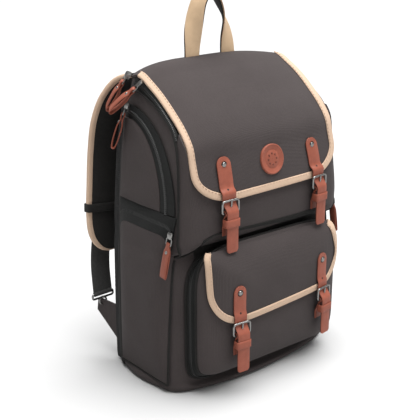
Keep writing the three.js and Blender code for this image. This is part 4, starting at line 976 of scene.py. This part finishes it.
strap_rows = [  # height over the flap's lower edge, and y from it
    (10, -3.7), (4, -3.7), (-1, -3.9), (-5, -5.6), (-9, -8.8), (-13, -11.4), (-19, -11.8), (-34, -11.2),
    (-50, -11), (-68, -11.2),
]
buckle_y = -6.6
heel_z = -15.6


def flap_front_y(x, z):
    rows = flap_point(np.full(200, x), np.linspace(1, 0.4, 200))
    return np.interp(z, rows[:, 2], rows[:, 1])


def closure(name, x, edge_z, rise, half, tail, flap_y, seat_y, lean=0.0):
    """One strap with its rivet, its holes painted as dark discs of shade, its buckle and chape, hung at a
    flap's lower edge.
    """
    edge_y = float(flap_y(x, edge_z))
    swing = math.atan(float(flap_y(x + 0.5, edge_z) - flap_y(x - 0.5, edge_z)))
    cos, sin = math.cos(swing), math.sin(swing)
    turned = np.array([[cos, sin, 0], [-sin, cos, 0], [0, 0, 1]])
    across = (1.0, 0, 0)

    def placed(shape):
        return np.asarray(shape[0], float) @ turned + (x, edge_y, edge_z), shape[1]

    def on_flap(up):
        clear = gap + leather_thick / 2
        over_tape = 1.1 * smooth(18 - up, 0, 6)
        aside = lean * up / rise
        return aside, float(flap_y(x + aside, edge_z + up)) - edge_y - clear - over_tape, up

    path = [on_flap(up) for up in np.linspace(rise, 16, 5)] + [(0, y, z) for z, y in strap_rows]
    path = smooth_path(path, 90)
    off = unit(np.cross(heading(path), across))
    run = np.linspace(0, 1, 90)
    top_end = np.minimum(run / 0.085, 1)
    tail_end = np.minimum((1 - run) / 0.035, 1)
    halves = half * (1 - (1 - tail) * smooth(run, 0.35, 0.6))
    halves = halves * np.sqrt(1 - 0.93 * (1 - top_end) ** 2) * np.sqrt(1 - 0.5 * (1 - tail_end) ** 2)
    strap, edge = flat_strap(path, across, off, halves, leather_thick)
    piece(f"strap_{name}", placed(strap), [leather, leather_edge], f"strap_{name}", edge)
    spot = path[np.argmin(np.abs(path[:, 2] - (rise - 10)))] + (0, -leather_thick / 2, 0)
    piece(f"rivet_{name}", placed(dome(spot, (0, -1, 0), 3.4, 1.7, 20)), steel)
    # Painted shade: thin dark discs stand for the shade inside the punched holes and round the rivet's foot;
    # no hole is cut.
    marks = [dome(spot, (0, -1, 0), 4.6, 0.15, 20)]
    for z in (14, -6.5):
        i = int(np.argmin(np.abs(path[:, 2] - z)))
        way = off[i] if off[i][1] < 0 else -off[i]
        marks.append(dome(path[i] + way * (leather_thick / 2 + 0.02), way, 1.5, 0.12, 12))
    piece(f"strap_hole_shades_{name}", placed(together(*marks)), painted_hole_shade)

    frame_loop = rod(rounded_loop(13.2, heel_z, 1.1, 3.6, buckle_y), 1.5, 10, True)
    prong_path = smooth_path([(0, buckle_y, heel_z), (0, buckle_y - 0.6, -9), (0, buckle_y - 1.7, -5),
                              (0, buckle_y - 2.2, 1.4)], 24)
    prong_ring = rod(rounded_loop(1.2, heel_z - 2.4, heel_z + 2.4, 1.1, buckle_y - 0.2, 24), 0.9, 8, True)
    buckle = together(frame_loop, rod(prong_path, 1.2, 8), prong_ring)
    piece(f"buckle_{name}", placed(buckle), steel, f"buckle_{name}")

    seated = float(seat_y(x, edge_z - 36)) - edge_y - gap - leather_thick / 2
    chape_rows = [(buckle_y + 2.6, heel_z + 3), (buckle_y - 2.9, heel_z), (buckle_y + 1.2, heel_z - 4),
                  (buckle_y + 2, heel_z - 7), (seated, -36), (seated, -42), (seated, -48)]
    chape_path = smooth_path([(0, y, z) for y, z in chape_rows], 50)
    chape_halves = 9.5 - 2.5 * smooth(np.linspace(0, 1, 50), 0.4, 0.7)
    chape_off = unit(np.cross(heading(chape_path), across))
    chape, edge = flat_strap(chape_path, across, chape_off, chape_halves, 1.8)
    keeper = rounded_loop(10.9, -4.9, 4.9, 2.2, 0, 48)[:, [0, 2, 1]] * (1, -1, 1) + (0, -8.65, -28)
    keeper_off = unit(np.cross(heading(keeper, True), (0, 0, 1.0)))
    loop_strip, loop_edge = flat_strap(keeper, (0, 0, 1.0), keeper_off, 5.5, 1.2, True)
    piece(f"chape_{name}", placed(together(chape, loop_strip)), [leather, leather_edge],
          f"chape_{name}", edge + loop_edge)


for side_name, sign in both_sides:
    upper_x = 82.0 * sign
    low_edge = float(flap_point(np.array(upper_x), np.array(1.0))[2])
    closure(f"upper_{side_name}", upper_x, low_edge, 54 - sign, 11.3, 0.83, flap_front_y, front_y,
            -2 - 2 * sign)
    lower_x = 78.0 * sign
    low_edge = low_z + float(hem_rise(lower_x, low_z))
    closure(f"lower_{side_name}", lower_x, low_edge, 52, 9.9, 0.97, pocket_flap_y, pocket_y)

# Zip pulls. A narrow strip of chestnut leather folded into a loop and riveted at its neck,
# hung on a wire link from a cast slider.
pull_rows = [  # place, the ways it hangs and faces, the slider's depth, how far its loop opens
    ("top_back", (-132, 60, 410), (-0.19, 0.5, -0.81), (-1, 0.4, 0.6), 5.1, 1),
    ("top_front", (-138, 27, 405.5), (-0.34, 0.66, -0.67), (-1, 0.3, 0.9), 0.8, 1),
    ("door_left", (-143.4, 44.5, 372), (-0.3, 0.16, -1), (-0.76, 0.65, 0), 4, 1),
    ("door_right", (143.4, 44.5, 372), (0.3, 0.16, -1), (0.76, 0.65, 0), 4, 1),
    ("pocket_left", (-153.5, -59, 222.5), (-0.12, 0.12, -1), (-1, 0, 0), 1.6, 0.4),
    ("pocket_right", (153, -60, 212), (0.2, 0.03, -1), (1, 0, 0), 1.6, 0.4),
]
slider_rows = ((5.6, 3.0, 1.0), (6.4, 3.9, 1.6), (10, 4.0, 2.0), (13.6, 4.0, 1.7), (14.8, 3.2, 1.0))
pull_long = 49.0
turn = np.linspace(0, 2 * np.pi, 72, endpoint=False)
down = (1 - np.cos(turn)) / 2
pinch = 1 - 0.55 * np.exp(-(((down - 0.2) / 0.1) ** 2))
opening = (3.4 + 0.2 * smooth(down, 0.25, 0.8)) * pinch * signed(np.sin(turn), 0.55)
for name, at, hang, face, seat, spread in pull_rows:
    pull_path = np.stack([0 * down, spread * opening, -pull_long * down], axis=-1)
    pull_path = spaced(np.vstack([pull_path, pull_path[:1]]), 73)[:-1]
    pull_half = 3.4 + 2.4 * smooth(-pull_path[:, 2] / pull_long, 0.08, 0.26)
    pull_off = unit(np.cross(heading(pull_path, True), (1.0, 0, 0)))
    pull, pull_edge = flat_strap(pull_path, (1.0, 0, 0), pull_off, pull_half, 1.5, True)
    up = -unit(hang)
    off = np.array(face, float)
    off = unit(off - up * np.dot(off, up))
    basis = np.array([np.cross(off, up), off, up])

    def hung(shape):
        return np.asarray(shape[0]) @ basis + at, shape[1]

    piece(f"pull_{name}", hung(pull), [leather, leather_edge], f"pull_{name}", pull_edge)
    stud = dome(np.array([0, 1 + 1.9 * spread, -13.0]), (0, 1, 0), 2.3, 1.1)
    piece(f"pull_rivet_{name}", hung(stud), steel)
    link_wire = rod(rounded_loop(4.8, -3.2, 6.4, 2.2, 0, 40), 0.8, 8, True)
    block = [rounded_loop(half, -seat, front, 0.8, 0, 16)[:, [0, 2, 1]] + (0, 0, z)
             for z, half, front in slider_rows]
    slider = together(link_wire, tube(np.array(block)))
    piece(f"slider_{name}", hung(slider), steel, f"slider_{name}")

# Carry handle. A tan leather strap with burnished edges over a black webbing lining,
# sewn through the flap's top and standing in a narrow arch.
tan = hide("handle_leather", (0.50, 0.352, 0.22), (0.575, 0.408, 0.256), 0.5)
top_line = flap_point(np.full(401, 34.0), np.linspace(0, 1, 401))
handle_y = 37
handle_low = float(np.interp(-handle_y, -top_line[:, 1], top_line[:, 2])) - 1.5


def handle_strip(lift, thick, half):
    arch = [(-34, 0), (-32.7, 23), (-30.5, 41), (-26.9, 58), (-21, 74), (-13, 84), (-4, 87), (4, 83),
            (11, 74), (20, 56), (25.6, 37), (28.4, 18), (30, 0)]
    line = smooth_path([(x, handle_y, handle_low + up) for x, up in arch], 120)
    along = heading(line)
    outward = np.cross(along, (0, 1, 0))
    share = smooth(np.sin(np.linspace(0, np.pi, 120)), 0, 1.35)[:, None]
    off = unit(np.array([0, -1, 0]) * (1 - share) + outward * share)
    return flat_strap(line + off * lift, unit(np.cross(along, off)), off, half, thick)


handle, edge = handle_strip(0.9, 1.8, 12)
piece("handle", handle, [tan, leather_edge], "handle_strap", edge)
lining, _ = handle_strip(-1.1, 1.4, 12.2)
piece("handle_lining", lining, black, "handle_lining")

# Shoulder straps. Foam pads in black cloth edged with beige tape, sewn to the top of the back;
# an elastic loop, a webbing tail, a steel hook and a canvas tab tie each one to the base.
shoulder_rows = [(64, 47, 404), (77, 68, 410), (92, 89, 400), (105, 103, 378), (114, 112, 346),
                 (118, 117, 304), (123, 116, 252), (128, 112, 214), (129, 107, 160)]
shoulder_half = 33.5
tip_long = 46
shoulder_line = smooth_path(shoulder_rows, 401)
shoulder_along = heading(shoulder_line)
shoulder_length = np.linalg.norm(np.diff(shoulder_line, axis=0), axis=1).sum()


def strap_point(u, v, lift):
    at = np.clip(v, 0, 1) * 400
    middle = np.stack([np.interp(at, np.arange(401), c) for c in shoulder_line.T], axis=-1)
    along = np.stack([np.interp(at, np.arange(401), c) for c in shoulder_along.T], axis=-1)
    wide = unit(np.array([1.0, 0, 0]) - along * along[..., :1])
    off = np.cross(wide, along)
    return middle + wide * np.asarray(u)[..., None] + off * np.asarray(lift)[..., None]


def strap_half(v):
    left = np.clip((1 - v) * shoulder_length, 0, tip_long)
    return shoulder_half * np.sqrt(1 - (1 - left / tip_long) ** 2.4)


tip = 1 - tip_long / shoulder_length
tip_runs = tip + (0.9985 - tip) * np.sin(np.linspace(0, np.pi / 2, 24))
strap_runs = np.concatenate([np.linspace(0.03, tip, 90)[:-1], tip_runs])
grid_u, grid_v = np.meshgrid(np.linspace(-1, 1, 41), strap_runs)
full = 2.1 + 2.8 * (1 - grid_u**4)
pad_face = strap_point(grid_u * strap_half(grid_v), grid_v, full)
pad_back = strap_point(grid_u * strap_half(grid_v), grid_v, -full)
strap_edge = np.concatenate([
    np.stack([-strap_half(strap_runs), strap_runs], axis=1)[12:],
    np.stack([strap_half(strap_runs), strap_runs], axis=1)[12:][::-1],
])
edge_line = np.hstack([strap_point(*strap_edge.T, np.zeros(len(strap_edge))), strap_edge])
edge_line = spaced(edge_line, 360)
edge_up = unit(strap_point(edge_line[:, 3], edge_line[:, 4], np.ones(360)) - edge_line[:, :3])
tape_frames = edge_frames(edge_line[:, :3], edge_up)
strap_tape = folded_tape(tape_frames, 4.2, 3.8)
strap_sewn = stitches(tape_frames[0] - tape_frames[2] * 2.7 + tape_frames[1] * 3.65, tape_frames[1])
web_cloth = cloth("webbing", (0.038, 0.0374, 0.0364), (0.058, 0.0571, 0.0553), 0.0016)
web_rows = [(132, 121, 196), (137, 121, 168), (143, 116, 136), (146, 108, 95)]
web_path = smooth_path(web_rows, 50)
web_along = heading(web_path)
web_wide = unit(np.array([1.0, 0, 0]) - web_along * web_along[:, :1])
webbing, _ = flat_strap(web_path, web_wide, np.cross(web_wide, web_along), 15.8, 1.8)
foot = np.array(web_rows[-1], float)
turn = np.linspace(0, 2 * np.pi, 24, endpoint=False)
roll = np.stack([0 * turn, np.sin(turn) * 2.7, np.cos(turn) * 2.7], axis=-1) + foot
fold, _ = flat_strap(roll, (1.0, 0, 0), np.cross(heading(roll, True), (1.0, 0, 0)), 15.0, 1.4, True)
loop_v = 0.775 + 6 / shoulder_length
loop_middle = strap_point(np.zeros(1), np.full(1, loop_v), np.zeros(1))[0]
loop_along = unit(strap_point(np.zeros(1), np.full(1, loop_v + 0.005), np.zeros(1))[0] - loop_middle)
band_flat = rounded_loop(36.7, -6.6, 6.6, 3.0, 0, 96)
band_line = strap_point(band_flat[:, 0], np.full(96, loop_v), band_flat[:, 2])
band_off = unit(np.cross(heading(band_line, True), loop_along))
elastic, _ = flat_strap(band_line, loop_along, band_off, 6.0, 1.4, True)
ring = rod(rounded_loop(17.5, -7.5, 0, 2.6, 0) + foot, 1.5, 10, True)
eye_turn = np.linspace(0, 2 * np.pi, 32, endpoint=False)
eye_radius = 5.5
eye_middle = foot + (0, 0, 1.5 - 9 - eye_radius)
eye_circle = eye_radius * np.stack([np.cos(eye_turn), 0 * eye_turn, np.sin(eye_turn)], axis=-1)
eye = rod(eye_circle + eye_middle, 1.4, 10, True)
swivel = rod(np.array([foot + (0, 0, -6.5), foot + (0, 0, -7.5), foot + (0, 0, -8.5)]), 2.4, 12)
hook = together(ring, eye, swivel)
tab_root = np.array([139.0, 48, 0])
eye_z = eye_middle[2] - eye_radius
reach = foot[1] - tab_root[1]
swing = math.atan2(tab_root[0] - foot[0], reach)
corners = np.array([(0, 8), (reach + 12, eye_z - 12), (reach + 9, eye_z + 8), (0, 84)], float)
rows = []
for t in np.linspace(0, 1, 12):
    low = corners[0] + (corners[1] - corners[0]) * t
    high = corners[3] + (corners[2] - corners[3]) * t
    rows.append([low + (high - low) * s for s in np.linspace(0, 1, 10)])
rows = np.array(rows)
tab_off = np.array([math.cos(swing), math.sin(swing), 0])
tab_flat = np.stack([-tab_off[1] * rows[..., 0], tab_off[0] * rows[..., 0], rows[..., 1]], axis=-1) + tab_root
tab = slab(tab_flat + tab_off * 1.5, tab_flat - tab_off * 1.5)
for name, side in both_sides:
    def mirrored(shape):
        return shape[0] * (side, 1, 1), shape[1]

    pad = mirrored(slab(pad_face, pad_back))
    pad = piece(f"shoulder_pad_{name}", pad, black, f"shoulder_pad_{name}")
    piece(f"shoulder_tape_{name}", mirrored(strap_tape), beige, f"shoulder_binding_{name}")
    piece(f"shoulder_stitches_{name}", mirrored(strap_sewn), thread)
    piece(f"elastic_loop_{name}", mirrored(elastic), black, f"elastic_loop_{name}")
    piece(f"webbing_{name}", mirrored(together(webbing, fold)), web_cloth, f"webbing_{name}")
    piece(f"strap_hook_{name}", mirrored(hook), steel, f"strap_hook_{name}")
    piece(f"strap_tab_{name}", mirrored(tab), canvas, f"strap_tab_{name}")
